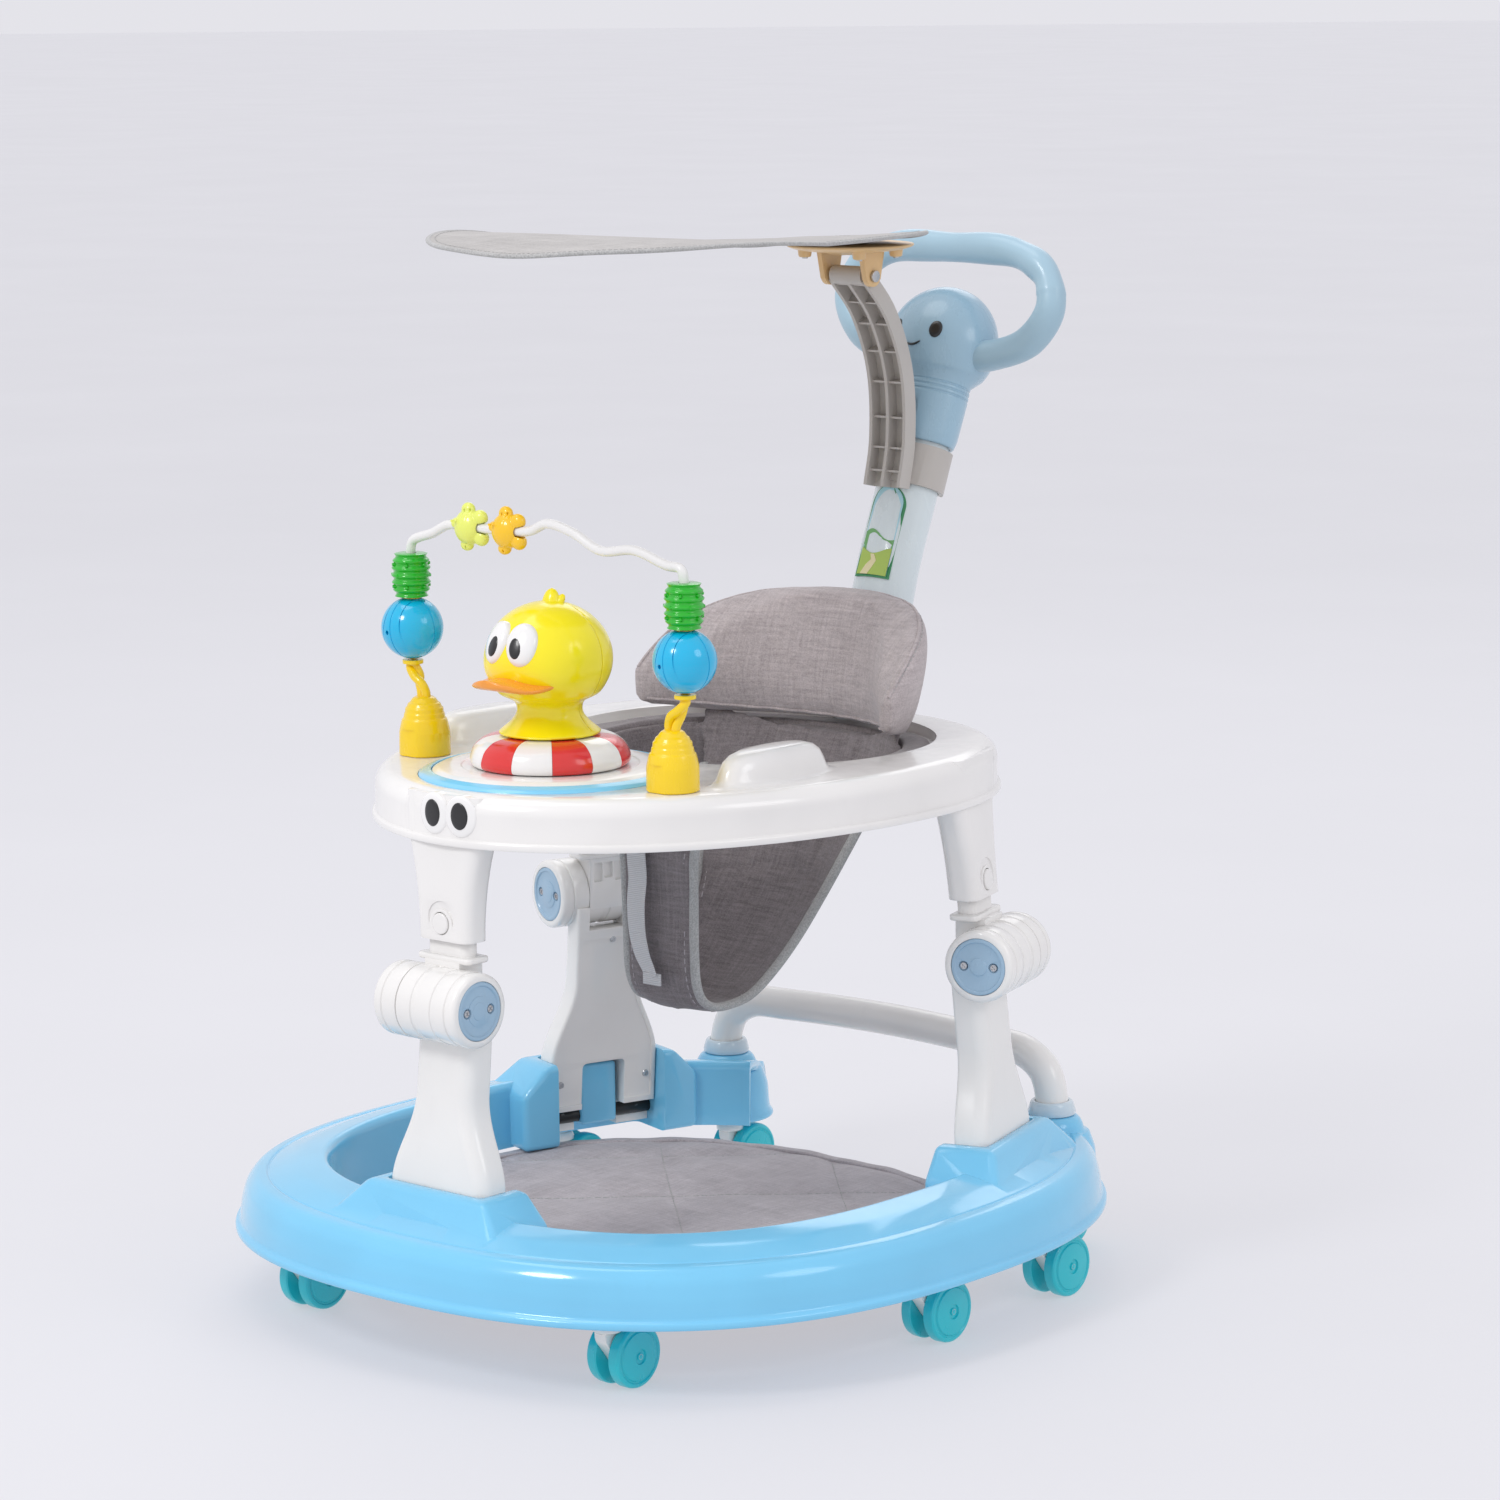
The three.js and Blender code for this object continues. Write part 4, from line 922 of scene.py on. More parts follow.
def lowerLeg(leg):
    foot, top = legShape["footZ"], knee["z"] - 10
    levels = [foot + (top - foot) * i / 46 for i in range(47)]
    body = leaned(
        loft("lower_leg_shell_" + leg["name"], [[(x, y, z) for x, y in legOutline(z)] for z in levels])
    )
    half = knee["length"] / 2
    barrel = [
        (-half, 26.5), (-half + 0.5, 28.2), (-half + 2, 29.6), (-half + 4, 30), (-half + 9, 30),
        (-half + 9.6, 29), (-half + 10.8, 29), (-half + 11.4, 30), (half - 11.4, 30), (half - 10.8, 29),
        (half - 9.6, 29), (half - 9, 30), (half - 4, 30), (half - 2, 29.6), (half - 0.5, 28.2),
        (half, 26.5)
    ]
    body = weld(body, loft("barrel", [wheelRing(x, knee["offset"], knee["z"], r) for x, r in barrel]))
    middle = knee["middle"] / 2 + running
    room = blockAt("room", -middle, middle, -60, 80, knee["z"] - knee["radius"] - running, knee["z"] + 40)
    notchHalf = tongue["halfWidth"] + tongue["room"]
    notch = soften(
        blockAt("notch", -notchHalf, notchHalf, -60, 90, foot - 14, tongue["top"] + tongue["room"]), 4.5,
        4
    )
    heel = blockAt("heel", -90, 90, -60, rodY - 1, foot - 10, legShape["heelZ"])
    rodBore = sideRod("rodBore", footRod["radius"] + running / 2, -90, 90, rodY, footRod["z"])
    body = carve(body, room, notch, heel, rodBore)
    for side in (-1, 1):
        seat = sideRod(
            "seat", knee["cap"] + gap, side * half - 4.35, side * half + 4.35, knee["offset"], knee["z"],
            72
        )
        body = carve(body, seat)
    # Inner face: a panel inside a raised border, with screw wells
    panelLevels = [foot + 26 + (knee["z"] - 40 - foot - 26) * i / 30 for i in range(31)]
    rings = []
    for z in panelLevels:
        half = legHalfWidth(z) - 5.5
        up = (z - foot) / (knee["z"] - foot)
        face = -legShape["footDepth"] * (1 - up * 0.1) / 2
        rings.append(
            [(-half, face - 8, z), (half, face - 8, z), (half, face + 1.1, z), (-half, face + 1.1, z)]
        )
    body = carve(body, leaned(loft("panel", rings)))
    body = soften(body, 0.9, 2, 48)
    toLeg(body, leg)
    finishPiece(body, "legWhite", "base", "leg_white", "lower_leg_" + leg["name"], angle=40)
    screws = []
    for n, (x, z) in enumerate(((-leg["side"] * 5, 240), (43, 112), (-43, 112))):
        up = (z - foot) / legRise
        y = -legShape["footDepth"] / 2 * (1 - 0.1 * up) + legShape["footOut"] * (1 - up) + 1.0
        screws.append(
            toLeg(crossScrew(f"leg_screw_{leg['name']}_{n}", (x, y, z), (0, -1, 0), 3.2, 0.3), leg)
        )
    finishGroup(f"leg_screw_{leg['name']}_0", screws, "steel", "base", "steel", 30)


def kneeCap(leg):
    end = knee["length"] / 2
    y, z = knee["offset"], knee["z"]
    shaft = sideRod("knee_hub_" + leg["name"], knee["pin"], -end + 0.5, end - 2, y, z, 48)
    for s in (-1, 1):
        cap = [
            (end - 3.7, knee["cap"]), (end - 0.6, knee["cap"]), (end + 0.3, knee["cap"] - 0.9),
            (end + 0.3, knee["cap"] - 3), (end - 0.9, knee["cap"] - 3.8), (end - 0.9, 7.6),
            (end - 0.1, 7.0), (end - 0.1, 0.5)
        ]
        shaft = weld(shaft, loft("cap", [wheelRing(s * x, y, z, r, 64) for x, r in cap]))
    side = leg["side"]
    for s in (-1, 1):
        well = rod("well", (side * (end - 3), y + s * 13, z), (side * (end + 5), y + s * 13, z), 4.2, 32)
        shaft = carve(shaft, well)
    toLeg(shaft, leg)
    finishPiece(soften(shaft, 0.4, 2, 45), "mutedBlue", "base", "muted_blue", "knee_pin_" + leg["name"])
    pair = [
        toLeg(
            crossScrew(
                f"knee_screw_{leg['name']}_{n}", (side * (end - 2.7), y + s * 13, z), (side, 0, 0), 3.4,
                0.2
            ),
            leg
        )
        for n, s in enumerate((-1, 1))
    ]
    finishGroup(f"knee_screw_{leg['name']}_0", pair, "steel", "base", "steel", 30)


def leanedUp(made, slope):
    return shifted(made, lambda x, y, z: (x, y - slope * (z - knee["z"]), z))


def upperLeg(leg):
    z, half = knee["z"], knee["middle"] / 2
    y = knee["offset"]
    outline = (
        (-half, 29.3), (-half + 0.8, 30), (-3.4, 30), (-2.8, 29), (2.8, 29), (3.4, 30), (half - 0.8, 30),
        (half, 29.3)
    )
    barrel = loft("upper_leg_tube_" + leg["name"], [wheelRing(x, y, z, r) for x, r in outline])
    web = blockAt("web", -half, half, -13, 13, z - 12, z + 34)
    for row, (x0, x1) in enumerate(((-15, -6), (-4.5, 4.5), (6, 15))):
        web = carve(
            web, soften(blockAt("window", x0, x1, -20, -9.5, z + 12 + (row == 1) * 3, z + 29), 1.5, 3)
        )
    flange = soften(slab("flange", roundedRectangle(58, 25, 5), z + 33, z + 38), 1.6, 3, 50)
    post = slab("post", roundedRectangle(44, 17, 7.5, 8), z + 37, 400)
    upper = leanedUp(weld(flange, post), leg["slope"])
    whole = weld(barrel, web, upper)
    bore = sideRod("bore", knee["pin"] + running / 2, -80, 80, y, z)
    whole = soften(carve(whole, bore), 0.8, 2, 48)
    toLeg(whole, leg)
    finishPiece(whole, "legWhite", "base", "leg_white", "upper_leg_" + leg["name"], angle=40)


sleeve = {
    "width": 57, "depth": 27, "wall": 2, "bottom": 331, "top": 408.65, "flare": 24, "inward": 1.5,
    "corner": 10
}
button = {"radius": 8.5, "stand": 1.6, "thick": 3.2, "z": 345}


def legSleeve(leg):
    def flared(name, width, depth, corner, low, high):
        rings = []
        for i in range(25):
            z = low + (high - low) * i / 24
            up = max(min((z - sleeve["bottom"]) / (sleeve["top"] - sleeve["bottom"]), 1), 0)
            grow = 1 + up ** 2 * sleeve["flare"] / width
            rings.append(
                [
                    (x * grow, y - up ** 2 * sleeve["inward"], z)
                    for x, y in roundedRectangle(width, depth, corner, 8)
                ]
            )
        return loft(name, rings)

    low, high, wall = sleeve["bottom"], sleeve["top"], 2 * sleeve["wall"]
    outside = flared(
        "sleeve_" + leg["name"], sleeve["width"], sleeve["depth"], sleeve["corner"], low, high
    )
    face = sleeve["depth"] / 2
    # A crescent thumb recess above the button
    thumb = rod("thumb", (0, face + 6, button["z"] + 4), (0, face - 1.3, button["z"] + 4), 16, 56, 13.5)
    keepDisc = rod("keep", (0, face - 4, button["z"] - 1), (0, face - 0.02, button["z"] - 1), 12.5, 48)
    outside = carve(outside, thumb)
    outside = weld(outside, keepDisc)
    inside = flared(
        "hollow", sleeve["width"] - wall, sleeve["depth"] - wall, sleeve["corner"] - 2, low - 10,
        high + 10
    )
    hole = rod(
        "hole", (0, face - 10, button["z"]), (0, face + 20, button["z"]), button["radius"] + running, 48
    )
    shell = carve(outside, inside, hole)
    shell = soften(shell, 0.7, 2, 45)
    toLeg(leanedUp(shell, leg["slope"]), leg)
    finishPiece(shell, "trayWhite", "tray", "leg_white", "leg_sleeve_" + leg["name"])
    front = face + button["stand"]
    knob = rod(
        "height_knob_" + leg["name"], (0, front - button["thick"], button["z"]), (0, front, button["z"]),
        button["radius"], 56
    )
    knob = soften(knob, 1.1, 4, 50)
    toLeg(leanedUp(knob, leg["slope"]), leg)
    finishPiece(knob, "trayWhite", "button_" + leg["name"], "leg_white", "height_button_" + leg["name"])


for leg in legs:
    lowerLeg(leg)
    kneeCap(leg)
    upperLeg(leg)
    legSleeve(leg)
print("legs done")


# Casters

wheel = {"radius": 25.5, "disc": 11, "apart": 13, "axle": 3}
caster = {"trail": 20, "stem": 4.5, "stemTop": 92}
casterSpots = [("front", 173, -294), ("fore", 281, -43), ("aft", 273, 123), ("rear", 180, 246)]


def casterFork(name, x, y):
    half = wheel["apart"] / 2 - running
    axle = wheel["radius"]
    outline = rounded(
        [
            (-7, 57), (-6, 40), (caster["trail"] - 9, axle - 7), (caster["trail"] + 5, axle - 7),
            (caster["trail"] + 7, axle + 5), (8, 48), (7, 57)
        ],
        4, 4
    )
    cheek = loft(name, [[(a, b, c) for b, c in outline] for a in (-half, half)])
    thin, top = caster["stem"], caster["stemTop"]
    stem = lathe("stem", [(0, 50), (thin, 50), (thin, top - 1), (thin - 1, top), (0, top)], (0, 0), 32)
    collar = lathe("collar", [(0, 50), (7, 50), (8, 51.5), (8, 59.4), (0, 59.4)], (0, 0), 40)
    hood = lathe("hood", [(0, 46.5), (10, 46.5), (12, 48), (12, 51), (10, 54.5), (0, 54.5)], (0, 2), 40)
    bore = sideRod("bore", wheel["axle"] + running, -20, 20, caster["trail"], axle, 24)
    fork = soften(carve(weld(cheek, stem, collar, hood), bore), 0.7, 2, 45)
    return carry(fork, (x, y, 0))


def casterWheel(name, x, y):
    inner, r = wheel["apart"] / 2, wheel["radius"]
    outer = inner + wheel["disc"]
    half = [
        (wheel["axle"], inner), (r - 1, inner), (r, inner + 1), (r, outer - 3.8), (r - 0.5, outer - 2),
        (r - 1.8, outer - 0.9), (r - 3.6, outer - 0.6), (r - 4.6, outer - 1.5), (r - 5.6, outer - 1.5),
        (r - 6.6, outer - 0.3), (9, outer + 0.8), (6.2, outer + 0.9), (5.6, outer - 0.4),
        (3.2, outer - 0.4), (2.9, outer + 0.5), (1.8, outer + 0.95), (0, outer + 1)
    ]
    profile = [(rr, -xx) for rr, xx in reversed(half)] + half
    return carry(lathe(name, profile), (x, y + caster["trail"], r), Matrix.Rotation(math.pi / 2, 4, "Y"))


for spot, x, y in casterSpots:
    for side, hand in ((1, "left"), (-1, "right")):
        tag = spot + "_" + hand
        fork = casterFork("fork_" + tag, side * x, y)
        finishPiece(fork, "legWhite", "fork_" + tag, "leg_white", "caster_fork_" + tag)
        twin = casterWheel("twin_wheel_" + tag, side * x, y)
        finishPiece(twin, "teal", "wheel_" + tag, "teal", "caster_wheel_" + tag, angle=30)
        ends = []
        for s in (-1, 1):
            outer = side * x + s * (wheel["apart"] / 2 + wheel["disc"])
            inside, outside = ((outer + s * d, y + caster["trail"], wheel["radius"]) for d in (-3, 0.9))
            ends.append(rod("axleEnd", inside, outside, 2.9, 24, 2.2))
        finishGroup(f"axle_end_{tag}-1", ends, "steel", "wheel_" + tag, "steel", 30)
print("casters done")


# Tray

tray = {
    "halfWidth": 227, "front": 311, "rear": 232, "centreY": 20, "frontPower": 2, "rearPower": 2.4,
    "bottom": 409, "top": 450, "wall": 3.5, "edge": 15,
}
seatHole = {
    "halfWidth": 138, "front": 128, "rear": 112, "centreY": 76, "frontPower": 2.1, "rearPower": 2.1
}
ledge = {"width": 26, "drop": 9}
hump = {"x": 159, "y": -78, "halfWidth": 19, "halfLength": 58, "rise": 26, "power": 2 / 2.3}
insert = {"y": -165, "bandRadius": 106, "plateRadius": 95, "ringRadius": 64, "plateTop": 457}
trayEye = {"z": 433.5, "spots": (-7, 21)}
handle = {"y": 251, "z": 554, "lean": 22, "halfWidth": 30, "halfDepth": 22, "footY": 226, "tubeTop": 180}


def eggRings(plan, profile, count=200):
    return [[(x, y, z) for x, y in egg(plan, inset, count)] for inset, z in profile]


def trayShell():
    low, top, r, wall = tray["bottom"], tray["top"], tray["edge"], tray["wall"]
    inside = [
        (wall + r - r * math.cos(math.radians(a)) * 0.9, top - wall - r + r * math.sin(math.radians(a)))
        for a in (90, 70, 50, 30, 10)
    ]
    lip = [
        (wall, low), (-2.2, low), (-2.6, low + 0.8), (-2.6, low + 4.4), (-2.0, low + 5.6),
        (-0.4, low + 6.4), (0, low + 7.5)
    ]
    edge = [
        (r - r * math.cos(math.radians(a)), top - r + r * math.sin(math.radians(a)))
        for a in range(0, 91, 9)
    ]
    return loft("tray_deck", eggRings(tray, inside + lip + edge))


def trayHump(side):
    steps = [
        (0.5, -2), (1.24, -2), (1.24, 0.0), (1.15, 0.5), (1.06, 2.2), (1.0, 6), (0.95, 12), (0.88, 18),
        (0.76, 22.5), (0.58, 25.2), (0.3, 26)
    ]
    rings = []
    for share, z in steps:
        ring = []
        for a in turns(72):
            x = powered(math.cos(a), hump["power"]) * (hump["halfWidth"] * share + 1.5)
            y = powered(math.sin(a), hump["power"]) * (hump["halfLength"] * share + 2)
            ring.append((side * (hump["x"] + x), hump["y"] + y, tray["top"] + z * hump["rise"] / 26))
        rings.append(ring)
    return loft("hump", rings)


def hangerRoom(leg):
    back = leg["slope"] * (tray["bottom"] - knee["z"])
    block = slab(
        "block", roundedRectangle(81, 27, 10), tray["bottom"] + 0.01, tray["top"] - 2, (0, -back - 1.5)
    )
    room = slab("room", roundedRectangle(52, 25, 7), tray["bottom"] - 1, 423, (0, -back))
    return toLeg(block, leg), toLeg(room, leg)


def trayDeck():
    deck = trayShell()
    low, top, wall = tray["bottom"], tray["top"], tray["wall"]
    deck = weld(
        deck, loft("rim", eggRings(seatHole, [(-wall, low + 0.2), (-wall, top - 1)], 120)),
        loft(
            "step",
            eggRings(
                seatHole,
                [(-ledge["width"] - wall, top - ledge["drop"] - wall), (-ledge["width"] - wall, top - 1)],
                120
            )
        ),
        lathe(
            "seat",
            [
                (0, top - 9.5), (insert["bandRadius"] + wall, top - 9.5),
                (insert["bandRadius"] + wall, top - 1), (0, top - 1)
            ],
            (0, insert["y"]), 96
        ),
        slab(
            "well", ellipse(handle["halfWidth"] + 5, handle["halfDepth"] + 5, 64), low + 0.2, top - 1,
            (0, handle["footY"] + 1)
        )
    )
    for side in (-1, 1):
        deck = weld(deck, trayHump(side))
    rooms = []
    for leg in legs:
        block, room = hangerRoom(leg)
        deck = weld(deck, block)
        rooms.append(room)
    deck = carve(
        deck, loft("opening", eggRings(seatHole, [(0, low - 60), (0, top + 60)], 120)),
        loft(
            "stepCut",
            eggRings(seatHole, [(-ledge["width"], top - ledge["drop"]), (-ledge["width"], top + 60)], 120)
        ),
        lathe(
            "bandSeat",
            [
                (0, top - 6), (insert["bandRadius"] + 0.5, top - 6),
                (insert["bandRadius"] + 0.5, top + 40), (0, top + 40)
            ],
            (0, insert["y"]), 96
        ),
        slab(
            "handleHole", ellipse(handle["halfWidth"] + 1.2, handle["halfDepth"] + 1.6, 64), low - 60,
            top + 60, (0, handle["footY"] + 1)
        ),
        *rooms
    )
    deck = soften(deck, 1.1, 3, 50)
    finishPiece(deck, "trayWhite", "tray", "leg_white", "tray", angle=40)


# Two plain moulded eyes on the front of the tray
def trayEyes():
    kinds = {
        "white": {"halfX": 15.6, "halfZ": 16.6, "depth": 1.9, "out": 0, "drop": 0.5, "parts": []},
        "pupil": {"halfX": 8.3, "halfZ": 10.8, "depth": 1.0, "out": 1.9, "drop": 0, "parts": []},
    }
    for x in trayEye["spots"]:
        y = -290.6 + (x / tray["halfWidth"]) ** 2 * 150  # on the tray's front wall
        out = Vector((x / tray["halfWidth"] * 1.28, -1, 0)).normalized()
        side = Vector((-out.y, out.x, 0))
        for name, kind in kinds.items():
            rings = []
            for share, lift in (
                (1.0, -4), (1.0, 0.2), (0.97, 0.55), (0.88, 0.85), (0.6, 1.0), (0.2, 1.05)
            ):
                ring = []
                for across, up in ellipse(kind["halfX"] * share, kind["halfZ"] * share, 48):
                    spot = Vector(
                        (x, y, trayEye["z"] - kind["drop"])
                    ) + side * across + Vector((0, 0, up))
                    ring.append(
                        tuple(spot + out * (lift * kind["depth"] + kind["out"] - 0.0045 * across ** 2))
                    )
                rings.append(ring)
            kind["parts"].append(loft(name, rings))
    finishGroup("tray_eye_whites", kinds["white"]["parts"], "eyeWhite", "tray", "leg_white", 50)
    finishGroup("tray_eye_pupils", kinds["pupil"]["parts"], "black", "tray", "black_steel", 50)


trayDeck()
trayEyes()
print("tray done")


# Duck insert


def insertPieces():
    low, top, r = tray["top"] - 6 + gap, tray["top"], insert["bandRadius"]
    inner = insert["plateRadius"] + 0.5
    band = lathe(
        "duck_band",
        [(0, low), (r, low)] + rounded(
            [
                (r, low + 1), (r, top + 0.5), (r - 3.5, top + 2.6), (inner + 0.6, top + 4.6),
                (inner, top + 4), (inner, top - 1)
            ],
            1.2, 4
        ) + [(0, top - 1)],
        (0, insert["y"]), 128
    )
    finishPiece(band, "bandBlue", "tray", "sky_blue", "insert_band")
    r, low, high = insert["plateRadius"], tray["top"] - 1 + gap, insert["plateTop"]
    plate = lathe(
        "duck_plate",
        [(0, low)] + rounded(
            [
                (r, low), (r, low + 3.8), (r - 1.2, high - 3.2), (r - 6, high - 0.9), (r - 14, high),
                (72, high), (70.8, high - 1.1), (66.5, high - 1.1)
            ],
            1.6, 4
        ) + [(0, high - 1.1)],
        (0, insert["y"]), 128
    )
    finishPiece(plate, "trayWhite", "tray", "leg_white", "insert_plate")


swim = {"low": 456.2, "segments": 12, "first": 270, "gap": 0.12}


# Red and white segments in turn, one white one at the front with a small grille whose holes are painted
# shade
def swimRing():
    low, r = swim["low"] + 0.3, insert["ringRadius"]
    profile = rounded(
        [
            (30, low), (r - 2, low), (r + 0.4, low + 2.5), (r + 0.6, low + 7), (r - 2.6, low + 15.5),
            (r - 10.5, low + 21.8), (r - 20, low + 24), (30, low + 24.2)
        ],
        4, 5
    )
    count = swim["segments"]
    for kind, first in (("red", 0), ("white", 1)):
        parts = []
        for n in range(first, count, 2):
            start = swim["first"] - 180 / count + n * 360 / count + swim["gap"]
            end = start + 360 / count - 2 * swim["gap"]
            rings = []
            for i in range(13):
                a = math.radians(start + (end - start) * i / 12)
                rings.append([(rr * math.cos(a), insert["y"] + rr * math.sin(a), z) for rr, z in profile])
            parts.append(loft("segment", rings))
        whole = group(*parts)
        whole.name = "swim_ring_" + kind
        if kind == "red":
            core = [(0, low), (30.5, low), (30.5, low + 24.1), (0, low + 24.1)]
            whole = weld(whole, lathe("core", core, (0, insert["y"]), 96))
            finishPiece(whole, "red", "tray", "red", "swim_ring")
        else:
            finishPiece(whole, "eyeWhite", "tray", "leg_white")
    # the grille's holes are not cut: short black plugs stand in for the shadow inside them, painted shade
    holeShadows = []
    for row in range(3):
        for col in range(4 - row % 2):
            a = math.radians(swim["first"] + 30 + (col - 1.5 + (row % 2) * 0.5) * 3.4)
            rr = r - 3.4 - row * 2.6
            z = low + 13.6 + row * 2.9
            out = Vector((math.cos(a), math.sin(a), 0.75)).normalized()
            spot = Vector((rr * math.cos(a), insert["y"] + rr * math.sin(a), z))
            holeShadows.append(rod("hole", spot - out * 1.2, spot + out * 0.35, 0.7, 12))
    finishGroup("swim_ring_grille_shadows", holeShadows, "black", "tray", "black_steel", 30)


insertPieces()
swimRing()

duck = {
    "y": -165, "low": 481.7, "headZ": 545, "headRadius": 51,
    "eyes": {"white": (13.8, 18.0, 1.0), "pupil": (6.2, 9.4, 0.3)},  # half width, half height, bulge
    "billLength": 42, "billHalf": 36, "billThick": 4.9, "billCurl": 9.5,
}


def duckPieces():
    y, z, h = duck["y"], duck["headZ"], duck["headRadius"]
    low = duck["low"]
    ball = [
        (h * math.cos(math.radians(a)), z - 3 + h * 0.9 * math.sin(math.radians(a)))
        for a in range(-38, 88, 6)
    ]
    profile = [(0, low), (40, low)] + rounded(
        [
            (40.5, low + 0.2), (41, low + 1.6), (38, low + 4.2), (32, low + 9), (27.2, low + 15),
            (26, low + 20), (27.5, low + 26), *ball
        ],
        4, 3
    ) + [(0, z - 3 + h * 0.9)]
    body = lathe("duck_body", profile, (0, y), 96)

    def cheeks(px, py, pz):
        # the head is a little wider than deep, and fuller low at the front
        up = blendStep(low + 24, z - 8, pz)
        lift = math.exp(-(((pz - (z - 16)) / 22) ** 2))
        ang = math.atan2(py - y, px)
        forward = max(0.0, -math.sin(ang))
        grow = 1 + 0.035 * up * lift * forward
        return px * (1 + 0.015 * up) * grow, y + (py - y) * grow, pz

    shifted(body, cheeks)
    tuft = []
    foot = z + h * 0.9 - 10
    for dx, dy, high, r in ((0, 2, 9.5, 8.5), (-6, 6, 5.5, 6.5), (6.5, 5, 5.0, 6)):
        rings = []
        for i in range(13):
            t = i / 12
            rr = r * math.sqrt(max(1 - t ** 2.2, 0.003))
            cx, cy = dx * (0.4 + t * 0.8), y + dy * (0.5 + t * 0.9) + 2
            rings.append([(cx + a, cy + b, foot + (high + 7) * t) for a, b in ellipse(rr, rr * 0.8, 28)])
        tuft.append(loft("tuft", rings))
    body = weld(body, *tuft)
    groove = loft(
        "groove",
        [
            [
                (x, y + 8 + a, zz)
                for a, zz in ((-0.35, -60 + z), (0.35, -60 + z), (0.35, z + 70), (-0.35, z + 70))
            ]
            for x in (-80, 80)
        ]
    )
    hollow = lathe(
        "hollow",
        [
            (0, low + 22), (24.9, low + 22), (h * 0.885, z - 20), (h * 0.985, z - 3), (h * 0.9, z + 17),
            (h * 0.6, z + 34), (0, z + 44)
        ],
        (0, y), 64
    )
    groove = carve(groove, hollow)
    body = carve(body, groove)
    body = modify(
        body, "BEVEL", width=0.0003, segments=1, limit_method="ANGLE", angle_limit=math.radians(60),
        use_clamp_overlap=True
    )
    finishPiece(body, "yellow", "duck", "yellow", "duck", angle=50)

    parts = {"white": [], "pupil": []}
    for side, turnX in ((-1, -14.0), (1, 13.5)):
        for kind, (halfX, halfZ, bulge) in duck["eyes"].items():
            rings = []
            out = Vector((turnX * 0.95, -43, 17)).normalized()
            sideways = out.cross(Vector((0, 0, 1))).normalized()
            upward = sideways.cross(out)
            middle = Vector((0, y, z - 3)) + Vector((out.x * h, out.y * h, out.z * h * 0.93)) * 0.965
            if kind == "pupil":
                middle += sideways * side * 2.6 - upward * 3.2 + out * 4.4
            for share, lift in (
                (1.0, -9), (1.0, -1.6), (0.985, 0.2), (0.93, 2.0), (0.8, 3.6), (0.58, 4.9), (0.3, 5.6),
                (0.06, 5.8)
            ):
                centre = middle + out * lift * bulge
                outline = ellipse(halfX * share, halfZ * share, 56)
                rings.append([tuple(centre + sideways * a + upward * b) for a, b in outline])
            parts[kind].append(loft(kind, rings))
    finishGroup("duck_eye_whites", parts["white"], "eyeWhite", "duck", "leg_white", 60)
    finishGroup("duck_eye_pupils", parts["pupil"], "black", "duck", "black_steel", 60)

    # Bill: a flat wide sheet with rounded edge, curled up at its sides and tip
    rows = 30
    rings = []
    for i in range(rows + 1):
        t = i / rows
        along = -31 - duck["billLength"] * t
        roundTip = math.sqrt(max(1 - max(t - 0.18, 0) ** 2.1 / 0.82 ** 2.1 * 0.985, 0.012))
        half = duck["billHalf"] * (1 - 0.08 * t) * roundTip
        thick = duck["billThick"] * (1 - 0.35 * t)
        ring = []
        for a in turns(48):
            cx = powered(math.cos(a), 0.8) * half
            cz = powered(math.sin(a), 0.9) * thick
            ridge = 4.2 * math.exp(-((cx / 13) ** 2)) * (1 - t) ** 0.8 if cz > 0 else 0
            droop = -0.0042 * cx * cx + 0.0052 * max(abs(cx) - 21, 0) ** 2 * 3
            curl = duck["billCurl"] * t ** 2.6
            ring.append((cx, y + along, z - 17.5 - 8 * t + cz + ridge + droop * (1 - 0.55 * t) + curl))
        rings.append(ring)
    bill = loft("duck_bill_shell", rings)
    finishPiece(bill, "orange", "duck", "orange", "duck_bill", angle=60)


duckPieces()
print("duck done")


# Toy posts, balls, beads, wire and figures

toy = {
    "x": 137, "y": -170, "ballX": 150, "ballZ": 553.5, "ballRadius": 25.5, "beadZ": 597, "cupTop": 498,
    "wire": 4
}
wireY = toy["y"] + 1
figureZ = toy["beadZ"] + 44


